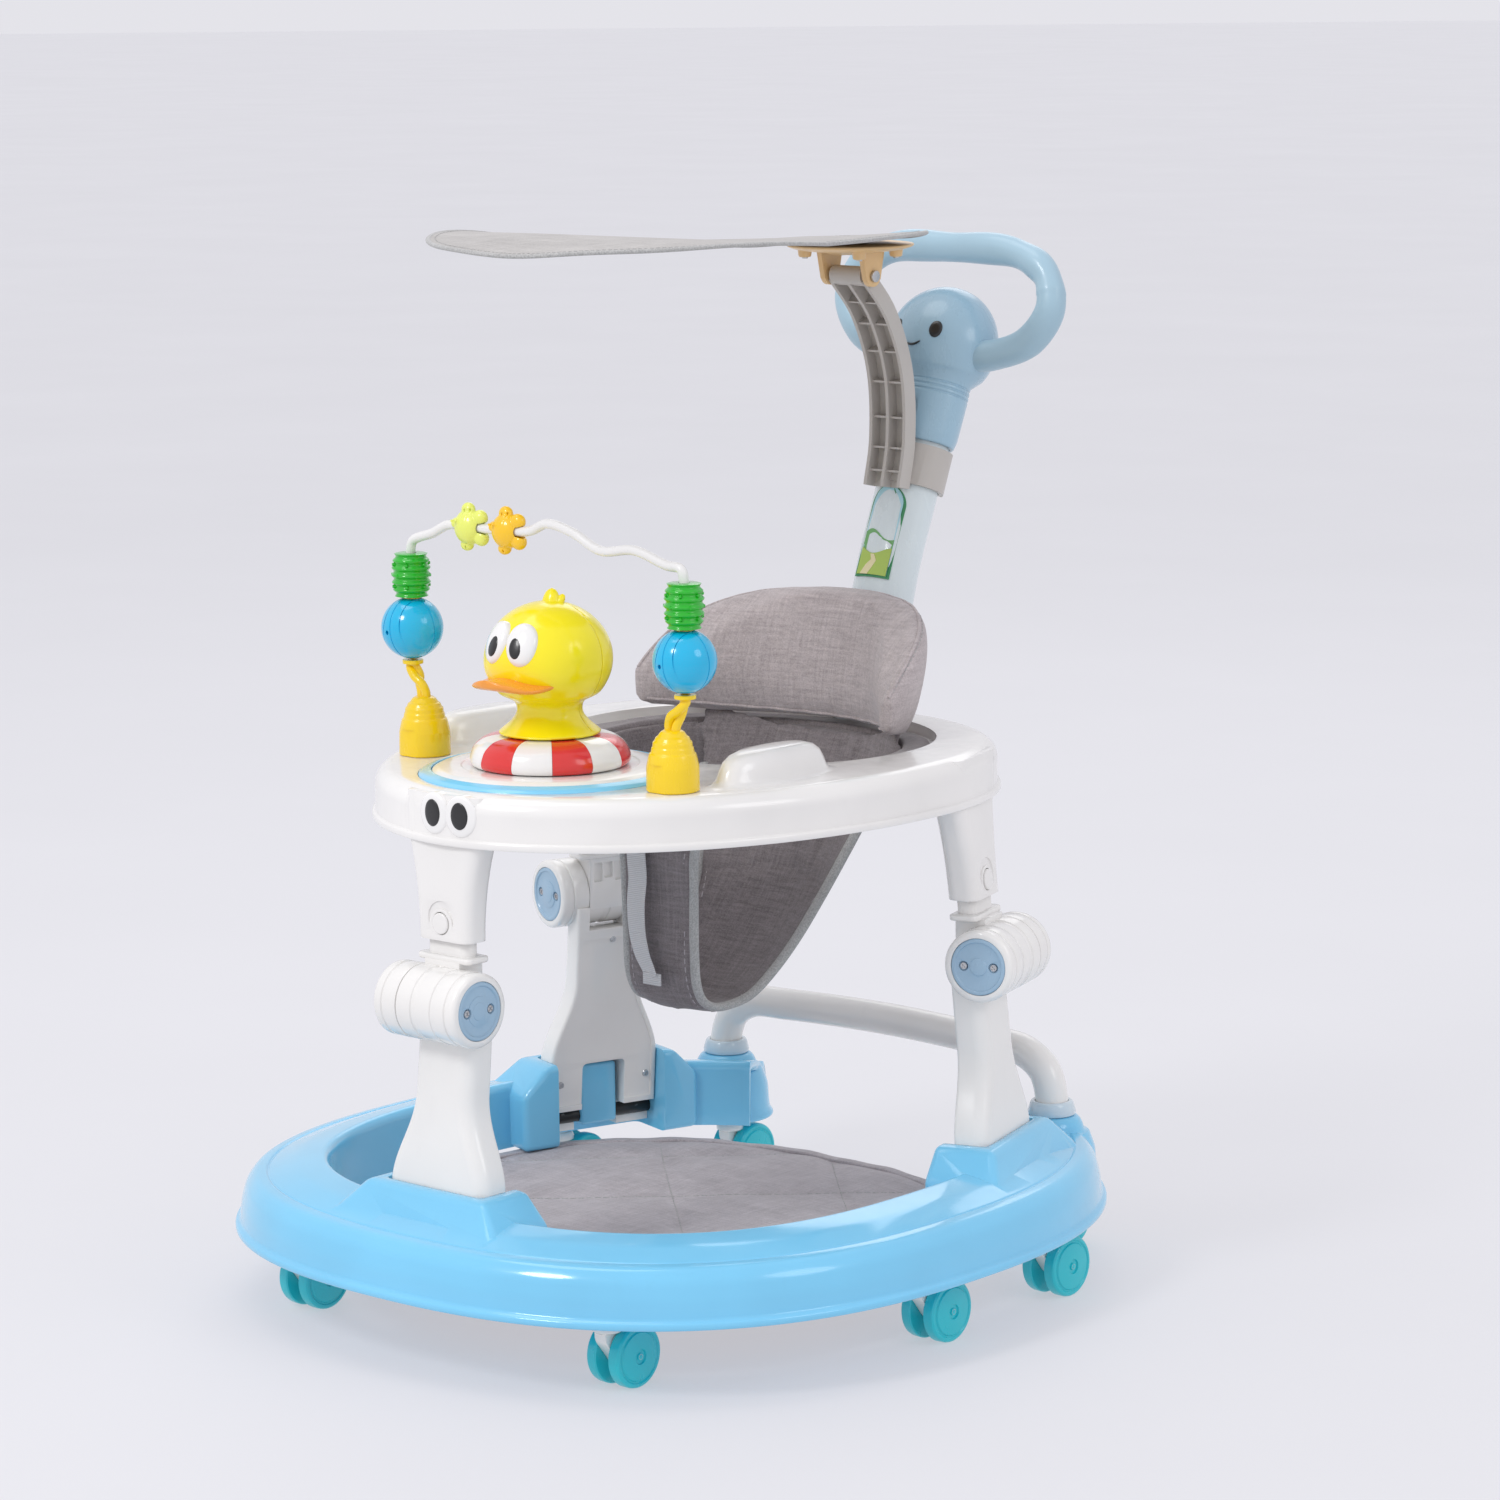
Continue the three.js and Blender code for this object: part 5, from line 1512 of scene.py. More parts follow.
def toyPost(side, hand):
    low = tray["top"] + gap
    cup = lathe(
        "toy_cup_" + hand,
        [(0, low)] + rounded(
            [
                (20.6, low), (21.2, low + 0.8), (20.9, low + 19), (19.4, low + 26), (18.4, low + 29.5),
                (17.2, low + 30.3), (16.6, low + 34), (15.9, low + 35), (15.6, low + 38.5),
                (14.4, low + 39.4), (13.3, low + 42.2), (11.8, low + 43), (9.6, toy["cupTop"] - 1.4),
                (7.4, toy["cupTop"])
            ],
            0.9, 3
        ) + [(0, toy["cupTop"])],
        (side * toy["x"], toy["y"]), 72
    )
    # flat front and back on the lower half
    for s in (-1, 1):
        cup = carve(
            cup,
            blockAt(
                "flat", side * toy["x"] - 40, side * toy["x"] + 40, toy["y"] + s * 29 - 10,
                toy["y"] + s * 29 + 10, low - 5, low + 22
            )
        )
    cup = soften(cup, 0.8, 3, 45)
    finishPiece(cup, "cupYellow", "tray", "yellow", "toy_post_" + hand)
    strands = []
    reach = toy["ballX"] - toy["x"]
    for s in (-1, 1):
        path = catmull(
            [
                (side * (toy["x"] + s * 2.6), toy["y"], toy["cupTop"] - 5),
                (side * (toy["x"] + s * 3.4 + 0.6), toy["y"] + s * 0.8, toy["cupTop"] + 4),
                (side * (toy["x"] + reach * 0.30 + s * 3.2), toy["y"] + s * 2.2, toy["cupTop"] + 11),
                (
                    side * (toy["x"] + reach * 0.62), toy["y"] + 0.6 + s * 3.1,
                    toy["ballZ"] - toy["ballRadius"] - 14
                ),
                (
                    side * (toy["ballX"] - s * 1.8), toy["y"] + 1 + s * 1.2,
                    toy["ballZ"] - toy["ballRadius"] - 6.6
                ),
                (side * toy["ballX"], toy["y"] + 1, toy["ballZ"] - toy["ballRadius"] - 3)
            ],
            8
        )
        strands.append(tubeAlong("strand", path, ellipse(3.7, 3.7, 24), Vector((0, 1, 0))))
    finishGroup("toy_stem_" + hand, strands, "cupYellow", "tray", "yellow")
    x = side * toy["ballX"]
    discs = []
    for z0, z1, r in (
        (toy["ballZ"] - 29.6, toy["ballZ"] - 26.4, 8.6), (toy["ballZ"] + 23.0, toy["ballZ"] + 25.2, 7.4)
    ):
        edge = rounded([(r - 0.2, z0), (r, z0 + 0.2), (r, z1 - 0.2), (r - 0.2, z1)], 0.4, 3)
        discs.append(lathe("collar", [(4.2, z0), *edge, (4.2, z1), (4.2, z0)], (x, wireY), 48))
    finishGroup("toy_collars_" + hand, discs, "cupYellow", "tray", "yellow")


def toyBall(side, hand):
    r, x, z = toy["ballRadius"], side * toy["ballX"], toy["ballZ"]
    bore = toy["wire"] + running
    start = math.asin(bore / r)
    sweep = [start + (math.pi - 2 * start) * i / 48 for i in range(49)]
    profile = [(r * math.sin(a), z - r * math.cos(a)) for a in sweep]
    ball = lathe("toy_ball_shell_" + hand, profile + [(bore, z), profile[0]], (x, wireY), 96)
    cutters = []
    # four curved seams, like a play ball's
    for axis, turn, offset in (("Z", 0, 0.0), ("Z", 90, 0.0), ("X", 90, 9.5), ("X", 90, -9.5)):
        ringR = math.sqrt(r * r - offset * offset)
        rings = []
        for a in turns(96):
            bow = 3.8 * math.sin(a * 2) * (1 if offset else 0.4)
            across = x + offset + bow * (1 if offset >= 0 else -1) * 0.5
            rings.append([(across + u, wireY + (ringR + v) * math.cos(a), z + (ringR + v) * math.sin(a))
                          for u, v in ellipse(0.62, 0.75, 8)])
        band = loft("seam", rings, closedPath=True)
        if axis == "Z":
            turnObject(band, (x, wireY, z), "Z", turn)
        cutters.append(band)
    eye = rod("pinhole", (x - 4, wireY - r - 3, z - 2), (x - 4, wireY - r + 4, z - 2), 1.9, 24)
    for each in (*cutters, eye):
        ball = carve(ball, each)
    finishPiece(ball, "ballBlue", "ball_" + hand, "ball_blue", "toy_ball_" + hand, angle=32)


def toyBead(side, hand):
    def barrel(up):
        return 11.4 + 3.9 * math.cos(up / 18 * 1.22)

    x, z0, bore = side * toy["ballX"], toy["beadZ"], toy["wire"] + running
    profile = [(bore, z0 - 18), (11.6, z0 - 18)]
    for i in range(1, 64):
        z = -18 + 36 * i / 64
        profile.append((barrel(z) + 0.95 * math.cos(math.tau * z / 6.0), z0 + z))
    profile += [(11.6, z0 + 18), (bore, z0 + 18), (bore, z0 - 18)]
    bead = lathe("toy_bead_shell_" + hand, profile, (x, wireY), 72)
    finishPiece(bead, "green", "bead_" + hand, "green", "toy_bead_" + hand, angle=50)
    studs = []
    for row in range(3):
        for k in range(6):
            a = math.tau * (k + row * 0.5) / 6
            zz = z0 - 9 + row * 9
            rr = barrel(zz - z0)
            out = Vector((math.cos(a), math.sin(a), 0))
            spot = Vector((x, wireY, zz)) + out * (rr - 1.2)
            studs.append(rod("stud", spot, spot + out * 2.5, 1.7, 14, 1.2))
    finishGroup("toy_bead_studs_" + hand, studs, "green", "bead_" + hand, "green", 40)


def toyWire():
    x, top = toy["ballX"], toy["beadZ"] + 24
    foot = toy["ballZ"] - toy["ballRadius"] + 1.5
    path = catmull(
        [
            (-x, wireY, foot), (-x, wireY, toy["ballZ"]), (-x, wireY, toy["beadZ"]), (-x, wireY, top - 4),
            (-x + 3, wireY, top + 4), (-x + 26, wireY, figureZ - 8), (-106, wireY, figureZ),
            (-82, wireY, figureZ), (-60, wireY, figureZ), (-38, wireY, figureZ),
            (-14, wireY, figureZ + 2), (4, wireY, figureZ + 9), (32, wireY, figureZ + 4),
            (62, wireY, figureZ - 8), (98, wireY, figureZ - 5), (x - 18, wireY, figureZ - 14),
            (x - 3, wireY, top + 4), (x, wireY, top - 4), (x, wireY, toy["beadZ"]),
            (x, wireY, toy["ballZ"]), (x, wireY, foot)
        ],
        12
    )
    wire = tubeAlong("play_wire", path, ellipse(toy["wire"], toy["wire"], 28), Vector((0, 1, 0)))
    finishPiece(wire, "wireWhite", "tray", "wire_white", "toy_wire", angle=60)


# A small plain fish-like bead: round body, tail, fins, eye bumps and belly lines
def wireFigure(name, x, finish, slot, spin):
    parts = []
    for cx, cz, rx, ry, rz in (
        (0, 0, 14.2, 10.8, 14.6), (-12.5, 2.5, 4.6, 7.2, 5.0), (12.0, 8.2, 7.2, 5.4, 6.6),
        (13.0, -7.8, 7.2, 5.4, 6.8), (-1, 14.0, 6.6, 4.8, 6.0), (-3, -14.5, 6.2, 4.6, 5.0),
        (-6, 5.8, 3.2, 11.6, 3.2)
    ):
        rings = []
        for i in range(1, 24):
            a = math.pi * i / 24
            outline = ellipse(ry * math.sin(a), rz * math.sin(a), 40)
            rings.append([(x + cx - rx * math.cos(a), wireY + b, figureZ + cz + c) for b, c in outline])
        parts.append(loft("lobe", rings))
    body = weld(*parts)
    for dx in (-1.5, 3.5):
        rings = [[(x + dx + u, wireY + (12.6 + v) * math.cos(a), figureZ - 1 + (15.6 + v) * math.sin(a))
                  for u, v in ellipse(0.5, 2.2, 8)] for a in turns(72)]
        body = carve(body, loft("line", rings, closedPath=True))
    body = carve(body, sideRod("bore", toy["wire"] + 1.2, x - 30, x + 30, wireY, figureZ, 32))
    body.name = name + "_bead"
    body = modify(body, "REMESH", mode="VOXEL", voxel_size=0.0005)
    body = modify(body, "SMOOTH", factor=0.5, iterations=5)
    finishPiece(body, finish, "figure_" + spin, slot, name, angle=0)
    dots = [
        rod(
            "dot", (x - 7, wireY + s * 13.6, figureZ + 5.8), (x - 7.4, wireY + s * 12.2, figureZ + 5.8),
            1.1, 16
        )
        for s in (-1, 1)
    ]
    finishGroup(name + "_eye_dots", dots, finish, "figure_" + spin, slot, 30)


for side, hand in ((1, "left"), (-1, "right")):
    toyPost(side, hand)
    toyBall(side, hand)
    toyBead(side, hand)
toyWire()
wireFigure("wire_figure_right", -82, "paleYellow", "pale_yellow", "right")
wireFigure("wire_figure_left", -40, "figureYellow", "yellow", "left")
print("toys done")


# Push handle

head = {"along": 218, "radius": 51, "depth": 43, "neckBottom": 128, "neckHalf": 34}
grip = {"halfWidth": 112, "top": 84, "radius": 13, "tilt": 10}
release = {"up": 26, "radius": 7, "back": 0.9, "thick": 5}
lean = math.radians(handle["lean"])


# From the handle's own frame (Z along the tube) to the walker
def inHandle(made):
    return carry(made, (0, handle["y"], handle["z"]), Matrix.Rotation(-lean, 4, "X"))


def handleTube():
    def along(d):
        return (0, handle["y"] + d * math.sin(lean), handle["z"] + d * math.cos(lean))

    path = catmull(
        [
            (0, handle["footY"], tray["bottom"] + 2), (0, handle["footY"] + 2, tray["top"]),
            (0, handle["y"] - 9, handle["z"] - 40), along(20), along(70), along(125),
            along(handle["tubeTop"])
        ],
        10
    )
    tube = tubeAlong("push_tube", path, ellipse(handle["halfWidth"], handle["halfDepth"], 72))
    finishPiece(soften(tube, 1.2, 3, 50), "paleBlue", "tray", "pale_blue", "handle_tube", angle=50)


# A thin sheet wrapped on the front of the tube; its outline is (across, up)
def tubePatch(name, outline, low, lift, finish, thick):
    rings = []
    for add in (-0.2, thick):
        ring = []
        for u, v in outline:
            deep = math.sqrt(1 - min(abs(u) / handle["halfWidth"], 0.99) ** 2)
            ring.append((u, -handle["halfDepth"] * deep - lift - add, low + v))
        rings.append(ring)
    finishPiece(inHandle(loft(name, rings)), finish, "tray", "pale_blue", angle=30)


def finePath(outline, step=1.5):
    result = []
    for a, b in zip(outline, outline[1:] + outline[:1]):
        count = max(1, int(math.dist(a, b) / step))
        result += [
            (a[0] + (b[0] - a[0]) * i / count, a[1] + (b[1] - a[1]) * i / count) for i in range(count)
        ]
    return result


def archOutline(half, high):
    arch = [(math.radians(a), high - half) for a in range(0, 181, 6)]
    return finePath(
        [(half, 0), (-half, 0)] + [(-half * math.cos(a), z + half * math.sin(a)) for a, z in arch]
    )


scenePanel = {
    "low": 3, "half": 18.5, "high": 82, "rim": 2.5,
    "colors": {
        "green": (0.035, 0.27, 0.10, 1), "sky": (0.42, 0.70, 0.78, 1), "meadow": (0.42, 0.58, 0.10, 1),
        "hill": (0.16, 0.42, 0.14, 1), "path": (0.80, 0.72, 0.42, 1),
    },
}


# A plain printed landscape under an arch: sky, hills, a meadow
def printedPanel():
    low, half, high, rim = scenePanel["low"], scenePanel["half"], scenePanel["high"], scenePanel["rim"]
    for key, color in scenePanel["colors"].items():
        finishes["print" + key] = mouldedPlastic("panelPrint" + key.capitalize(), color, 0.35, 0.3)
    tubePatch("panel_border", archOutline(half, high), low, 0.05, "printgreen", 0.45)
    tubePatch("panel_sky", archOutline(half - rim, high - rim), low + 2, 0.55, "printsky", 0.2)
    inner = half - rim

    def hills(top, swing, phase):
        crest = [
            (-inner + 2 * inner * i / 24, top + swing * math.sin(i / 24 * 5 + phase)) for i in range(25)
        ]
        return finePath([(inner, 0), (-inner, 0)] + crest)

    tubePatch("panel_hill", hills(36, 4.5, 0.4), low + 2, 0.8, "printhill", 0.15)
    tubePatch("panel_meadow", hills(22, 3.2, 2.4), low + 2, 1.0, "printmeadow", 0.15)
    track = finePath([(-2, 0), (-11, 0), (-6, 8), (-1, 13), (-3, 18), (1, 18), (4.5, 12.5), (2, 7)])
    tubePatch("panel_path", track, low + 2, 1.2, "printpath", 0.12)


def handleHead():
    low, along, r = head["neckBottom"], head["along"], head["radius"]
    neck = [(0, low)] + rounded(
        [
            (head["neckHalf"] - 1, low), (head["neckHalf"], low + 1), (head["neckHalf"] + 1.5, low + 8),
            (head["neckHalf"] + 1.8, low + 42)
        ],
        2, 3
    )
    grooves = []
    for n, z in enumerate((low + 43, low + 47.4, low + 51.8, low + 56.2)):
        w = head["neckHalf"] + 1.8 - 0.2 * n
        grooves += [(w, z), (w - 1.1, z + 0.7), (w - 1.1, z + 1.6), (w, z + 2.3)]
    ball = [
        (r * math.cos(math.radians(a)), along + r * math.sin(math.radians(a))) for a in range(-34, 88, 5)
    ]
    body = lathe(
        "grip_head",
        neck + grooves[:12] + rounded(
            [(head["neckHalf"] + 1.6, low + 56.6)] + ball[1:], 8, 3
        ) + [(0, along + r)],
        (0, 0), 128
    )

    def flat(x, y, z):
        up = min(max((z - low) / (along - low), 0), 1)
        deep = (handle["halfDepth"] + 4) / head["neckHalf"]
        return x, y * (deep + up * (head["depth"] / head["radius"] - deep)), z

    shifted(body, flat)
    w, a = grip["halfWidth"], along
    side = [
        (r - 22, 0, a - 8), (r + 8, 0, a - 6), (w - 18, 0, a + 8), (w, 0, a + 36), (w - 9, 0, a + 64),
        (w - 42, 0, a + grip["top"] - 3)
    ]
    path = catmull([*side, (0, 0, a + grip["top"]), *[(-x, y, z) for x, y, z in reversed(side)]], 14)

    def section(t):
        # finger waves under the middle of the grip, thicker roots where it meets the head
        root = max(0, 1 - min(t, 1 - t) / 0.1)
        wave = 1 + 0.05 * math.cos(t * math.tau * 11) * (1 if 0.28 < t < 0.72 else 0)
        rr = grip["radius"] * (0.985 * wave + 0.16 * root)
        return ellipse(rr, rr, 40)

    loopBar = tubeAlong("loop", path, section, Vector((0, 1, 0)))
    tilt = math.tan(math.radians(grip["tilt"]))
    shifted(loopBar, lambda x, y, z: (x, y - max(z - along, 0) * tilt, z))
    shifted(loopBar, lambda x, y, z: (x, y, min(z, along + grip["top"] + grip["radius"] - 0.1)))
    tube = slab(
        "socket", ellipse(handle["halfWidth"] + running, handle["halfDepth"] + running, 72), low - 10,
        handle["tubeTop"] + 2
    )
    up, front, radius = low + release["up"], handle["halfDepth"], release["radius"]
    hole = rod("hole", (0, -60, up), (0, 0, up), radius + running, 40)
    # a shallow thumb dish round the button
    dish = rod("dish", (0, -front - 12, up), (0, -front - 3.0, up), 2 * radius, 48, 11)
    body = carve(body, tube, hole, dish)
    body = soften(body, 0.5, 2, 45)
    inHandle(body)
    finishPiece(body, "headBlue", "handle_head", "muted_blue", "handle_head", angle=44)
    inHandle(loopBar)
    finishPiece(loopBar, "loopBlue", "handle_head", "muted_blue", angle=60)
    face = front + running + release["back"]
    knob = rod("release_knob", (0, -face, up), (0, -(face + release["thick"]), up), radius, 48)
    knob = soften(knob, 1.2, 4, 50)
    inHandle(knob)
    finishPiece(knob, "warmGrey", "release_button", "warm_grey", "release_button")


# A spot on the front of the head, in the handle's frame, with its outward direction
def onHead(x, z, lift=0.0):
    r, a = head["radius"], head["along"]
    q = max(1 - (x / r) ** 2 - ((z - a) / r) ** 2, 0.02)
    y = -head["depth"] * math.sqrt(q)
    out = Vector((x / r ** 2, y / head["depth"] ** 2, (z - a) / r ** 2)).normalized()
    return Vector((x, y, z)) + out * lift


# A thin raised shape following the head; outline is (across, up) about the centre
def headPatch(name, centre, outline, lift, thick):
    rings = []
    for share, up in (
        (1.0, lift - 1.2), (1.0, lift + thick * 0.5), (0.93, lift + thick), (0.5, lift + thick * 1.15),
        (0.05, lift + thick * 1.2)
    ):
        rings.append(
            [tuple(onHead(centre[0] + u * share, centre[1] + v * share, up)) for u, v in outline]
        )
    return inHandle(loft(name, rings))


# A calm, plain face: two separate oval eyes and a short smile
def headFace():
    eyes = []
    for x in (-21, 21):
        eyes.append(headPatch("eye", (x, head["along"] + 3), ellipse(5.4, 7.4, 40), 0.0, 0.7))
    finishGroup("head_eyes", eyes, "black", "handle_head", "black_steel", 60)
    rings = []
    for i in range(33):
        t = i / 32 * 2 - 1
        x, z = 9.5 * t, head["along"] - 12.5 + 3.6 * t * t
        rr = 1.0 * math.sqrt(max(1 - abs(t) ** 8, 0.05))
        c = onHead(x, z, 0.15)
        rings.append(wheelRing(c.x, c.y, c.z, rr, 12))
    smile = inHandle(loft("head_smile", rings))
    finishPiece(smile, "black", "handle_head", "black_steel", angle=60)


handleTube()
printedPanel()
handleHead()
headFace()
print("handle done")


# Canopy arm, bracket and canopy

arm = {
    "width": 40, "pivotY": 210, "pivotZ": 824, "pin": 2.5, "collarBottom": 88, "collarTop": 124,
    "collarWall": 4, "ear": 5
}
canopy = {
    "halfWidth": 155, "halfLength": 249, "centreY": 0, "z": 853, "thick": 3, "rise": 0.037,
    "plateRadius": 54, "bolts": ((30, 24), (-30, 24), (30, -24), (-30, -24)), "twist": 0.03,
    "twistGain": 0.078, "bow": 5.5, "tipDrop": 3, "ripple": 0.7, "crown": 1.4
}


def canopyArm():
    grow = arm["collarWall"] + running
    outside = slab(
        "arm_channel", ellipse(handle["halfWidth"] + grow, handle["halfDepth"] + grow, 96),
        arm["collarBottom"], arm["collarTop"]
    )
    inside = slab(
        "inside", ellipse(handle["halfWidth"] + running, handle["halfDepth"] + running, 96),
        arm["collarBottom"] - 5, arm["collarTop"] + 5
    )
    mouth = blockAt("mouth", -22, 22, 5, 60, arm["collarBottom"] - 5, arm["collarTop"] + 5)
    collar = inHandle(carve(outside, inside, mouth))
    top = (0, arm["pivotY"], arm["pivotZ"])
    path = catmull([(0, 256, 640), (0, 264, 680), (0, 261, 740), (0, 240, 790), top], 12)
    half = arm["width"] / 2
    beamSection = [
        (-half, -7), (half, -7), (half, 7), (half - 3.2, 7), (half - 3.2, -4), (1.6, -4), (1.6, 7),
        (-1.6, 7), (-1.6, -4), (3.2 - half, -4), (3.2 - half, 7), (-half, 7)
    ]
    ribSection = [(-half + 1, -5), (half - 1, -5), (half - 1, 4.2), (-half + 1, 4.2)]

    def across(p, ahead, section):
        # a section's second value grows toward the front
        frontward = Vector((0, -ahead.z, ahead.y))
        return [tuple(p + Vector((a, 0, 0)) + frontward * b) for a, b in section]

    rings, ribs = [], []
    for i, (p, ahead) in enumerate(zip(path, headings(path))):
        rings.append(across(p, ahead, beamSection))
        if i % 6 == 4:
            ribs.append(loft("crossRib", [across(p + ahead * d, ahead, ribSection) for d in (-0.9, 0.9)]))
    beam = loft("beam", rings)
    knuckle = sideRod("knuckle", 8, -half + 3, half - 3, top[1], top[2], 48)
    whole = weld(collar, beam, knuckle, *ribs)
    room = inHandle(
        slab("room", ellipse(handle["halfWidth"] + running, handle["halfDepth"] + running, 96), 0, 200)
    )
    whole = carve(whole, room, sideRod("bore", arm["pin"] + running / 2, -60, 60, top[1], top[2], 24))
    whole.name = "arm_channel"
    finishPiece(soften(whole, 0.8, 2, 45), "warmGrey", "tray", "warm_grey", "canopy_arm", angle=42)


def canopyBracket():
    r, z = canopy["plateRadius"], canopy["z"]
    y0, z0 = arm["pivotY"], arm["pivotZ"]
    dish = [
        (18, z - 11), (24, z - 9.6), (r - 8, z - 7), (r - 1, z - 4.6), (r, z - 3.6), (r - 0.6, z - 2.5)
    ]
    plate = lathe("canopy_plate", [(0, z - 11), *rounded(dish, 3, 4), (0, z - 2.5)], (0, y0), 96)
    inner = arm["width"] / 2 + running
    nose = [(9 * math.cos(math.radians(a)), 9 * math.sin(math.radians(a))) for a in range(190, 351, 10)]
    outline = [(-9, -3), *nose, (9, -3), (14, 20), (-14, 20)]
    for side in (-1, 1):
        ends = sorted((side * inner, side * (inner + arm["ear"])))
        plate = weld(plate, loft("ear", [[(x, y0 + a, z0 + b) for a, b in outline] for x in ends]))
    stud = [(0, z - 13.5), (4.6, z - 13.5), (5.4, z - 12.6), (6.4, z - 5), (0, z - 5)]
    for x, y in canopy["bolts"]:
        plate = weld(plate, lathe("boss", stud, (x, y0 + y), 32))
    plate = carve(plate, sideRod("bore", arm["pin"] + gap, -60, 60, y0, z0, 24))
    finishPiece(soften(plate, 0.7, 2, 45), "sand", "canopy", "sand", "canopy_bracket", angle=42)
    screws = [crossScrew(f"plate_screw_{n}", (x, y0 + y, z - 13.5), (0, 0, -1), 2.9, 0.3)
              for n, (x, y) in enumerate(canopy["bolts"])]
    finishGroup("plate_screws", screws, "steel", "canopy", "steel", 30)
    end = inner + arm["ear"]
    pin = sideRod("hinge_pin", arm["pin"], -end - 1, end + 1, y0, z0, 32)
    pin = weld(pin, sideRod("pinHead", 5, end + gap, end + 3, y0, z0, 40))
    finishPiece(soften(pin, 0.6, 3, 50), "steel", "canopy", "steel", "canopy_pin", angle=30)


# How far the cloth stands off its flat plane, at shares u (side to side) and v (front to back)
def canopyHeight(u, v):
    twist = u * canopy["halfWidth"] * (canopy["twist"] + canopy["twistGain"] * v)
    ahead = max(-v, 0)
    bow = canopy["bow"] * math.sin(math.pi * ahead) - canopy["tipDrop"] * ahead ** 4
    ripple = canopy["ripple"] * math.sin(u * 9 + v * 4) * (u * u + v * v) ** 2
    return twist + bow + ripple + canopy["crown"] * (1 - u * u - v * v)


def canopyPoint(u, v, lift=0.0):
    x, y = u * canopy["halfWidth"], canopy["centreY"] + v * canopy["halfLength"]
    near = 1 - blendStep(0.3, 1.3, math.hypot(x, y - arm["pivotY"]) / canopy["plateRadius"] / 1.5)
    height = canopyHeight(u, v) * (1 - 0.6 * near) + 1.2 * near
    return (
        x, y, canopy["z"] + canopy["thick"] / 2 + canopy["rise"] * (arm["pivotY"] - y) + height + lift
    )


def canopyCloth():
    half = canopy["thick"] / 2 - 0.4
    rows, sides = 40, 160
    points = []
    for lift in (-half, half):
        for i in range(rows + 1):
            share = i / rows
            points += [canopyPoint(share * math.cos(a), share * math.sin(a), lift) for a in turns(sides)]
    cloth = layeredDisc("canopy_cloth", points, rows, sides)
    finishPiece(cloth, "canopyCloth", "canopy", "canopy_fabric", "canopy", angle=60)
    rings = []
    for a in turns(240):
        c = Vector(canopyPoint(0.992 * math.cos(a), 0.995 * math.sin(a)))
        out = Vector(
            (math.cos(a) / canopy["halfWidth"], math.sin(a) / canopy["halfLength"], 0)
        ).normalized()
        rings.append([tuple(c + out * b + Vector((0, 0, d))) for b, d in ellipse(2.2, 1.75, 14)])
    hem = loft("canopy_binding", rings, closedPath=True)
    finishPiece(hem, "binding", "canopy", "canopy_fabric", angle=60)
    stitches, total = [], 260
    for start in turns(total):
        for s in (1, -1):
            ends = [canopyPoint(0.958 * math.cos(a), 0.972 * math.sin(a), (half + 0.12) * s)
                    for a in (start, start + math.tau / total * 0.62)]
            stitches.append(rod("stitch", *ends, 0.35, 6))
    thread = finishGroup("canopy_stitching", stitches, "binding", "canopy", "canopy_fabric", 60)


canopyArm()
canopyBracket()
canopyCloth()
print("canopy done")


# Soft goods

cushion = {
    "radius": 154, "thick": 34, "centreY": 74, "bottom": 442, "tipZ": 476, "top": 561, "recline": 26,
    "seams": (("outer_top", 0.42, 0.2), ("inner_low", -2.55, -0.14)),  # turn, and the stitches beside
    "square": 0.78, "start": 0.965, "pressure": 4.0, "cap": 4.5, "voxel": 4.5,
}


# Blows a pad up like a stuffed cushion; no point moves further than cap
def plump(made, pressure, cap, voxel):
    modify(made, "REMESH", mode="VOXEL", voxel_size=voxel / 1000)
    rest = [v.co.copy() for v in made.data.vertices]
    step = made.modifiers.new("cloth", "CLOTH")
    step.settings.use_pressure = True
    step.settings.uniform_pressure_force = pressure
    step.settings.effector_weights.gravity = 0
    step.settings.quality = 4
    step.point_cache.frame_start, step.point_cache.frame_end = 1, 20
    stage = bpy.context.scene
    for number in range(1, 21):
        stage.frame_set(number)
    applyModifiers(made)
    stage.frame_set(1)
    for v, start in zip(made.data.vertices, rest):
        move = v.co - start
        if move.length > cap / 1000:
            v.co = start + move.normalized() * cap / 1000
    modify(made, "SMOOTH", factor=0.5, iterations=4)
    return modify(made, "SUBSURF", levels=1, render_levels=1)


# Heights of the pad's lower and upper edge; swell is 0 at its tips and 1 behind the child
def cushionEdges(swell):
    low = cushion["tipZ"] - 12
    return low - (low - cushion["bottom"]) * swell, cushion["tipZ"] + 2 + (
        cushion["top"] - cushion["tipZ"]
    ) * swell


# A spot on the wraparound cushion: degrees round the seat, turn round its section (0 is the top)
def cushionPoint(degrees, turn, size=1.0):
    middle = cushion["radius"] - cushion["thick"] / 2
    a = math.radians(degrees)
    share = min(a, math.pi - a) / (math.pi / 2)
    swell = 1 - (1 - share) ** 3
    low, high = cushionEdges(swell)
    thin = 0.35 + 0.65 * min(share * 3, 1)
    up = powered(math.cos(turn), cushion["square"]) * 0.5 * size + 0.5
    across = powered(math.sin(turn), cushion["square"]) * cushion["thick"] / 2 * thin * size
    r = middle + across - cushion["recline"] * swell * (1 - up)
    return (r * math.cos(a), cushion["centreY"] + r * math.sin(a), low + (high - low) * up)


# Lays points on a mesh's surface, lifted off it by so many millimetres
def snapTo(target, points, lift):
    result = []
    for p in points:
        _, spot, normal, _ = target.closest_point_on_mesh(place(*p))
        result.append(Vector(spotOf(spot + normal * lift / 1000)))
    return result


def softPath(points, rounds=3):
    for _ in range(rounds):
        inner = [(a + b * 2 + c) / 4 for a, b, c in zip(points, points[1:], points[2:])]
        points = [points[0], *inner, points[-1]]
    return points


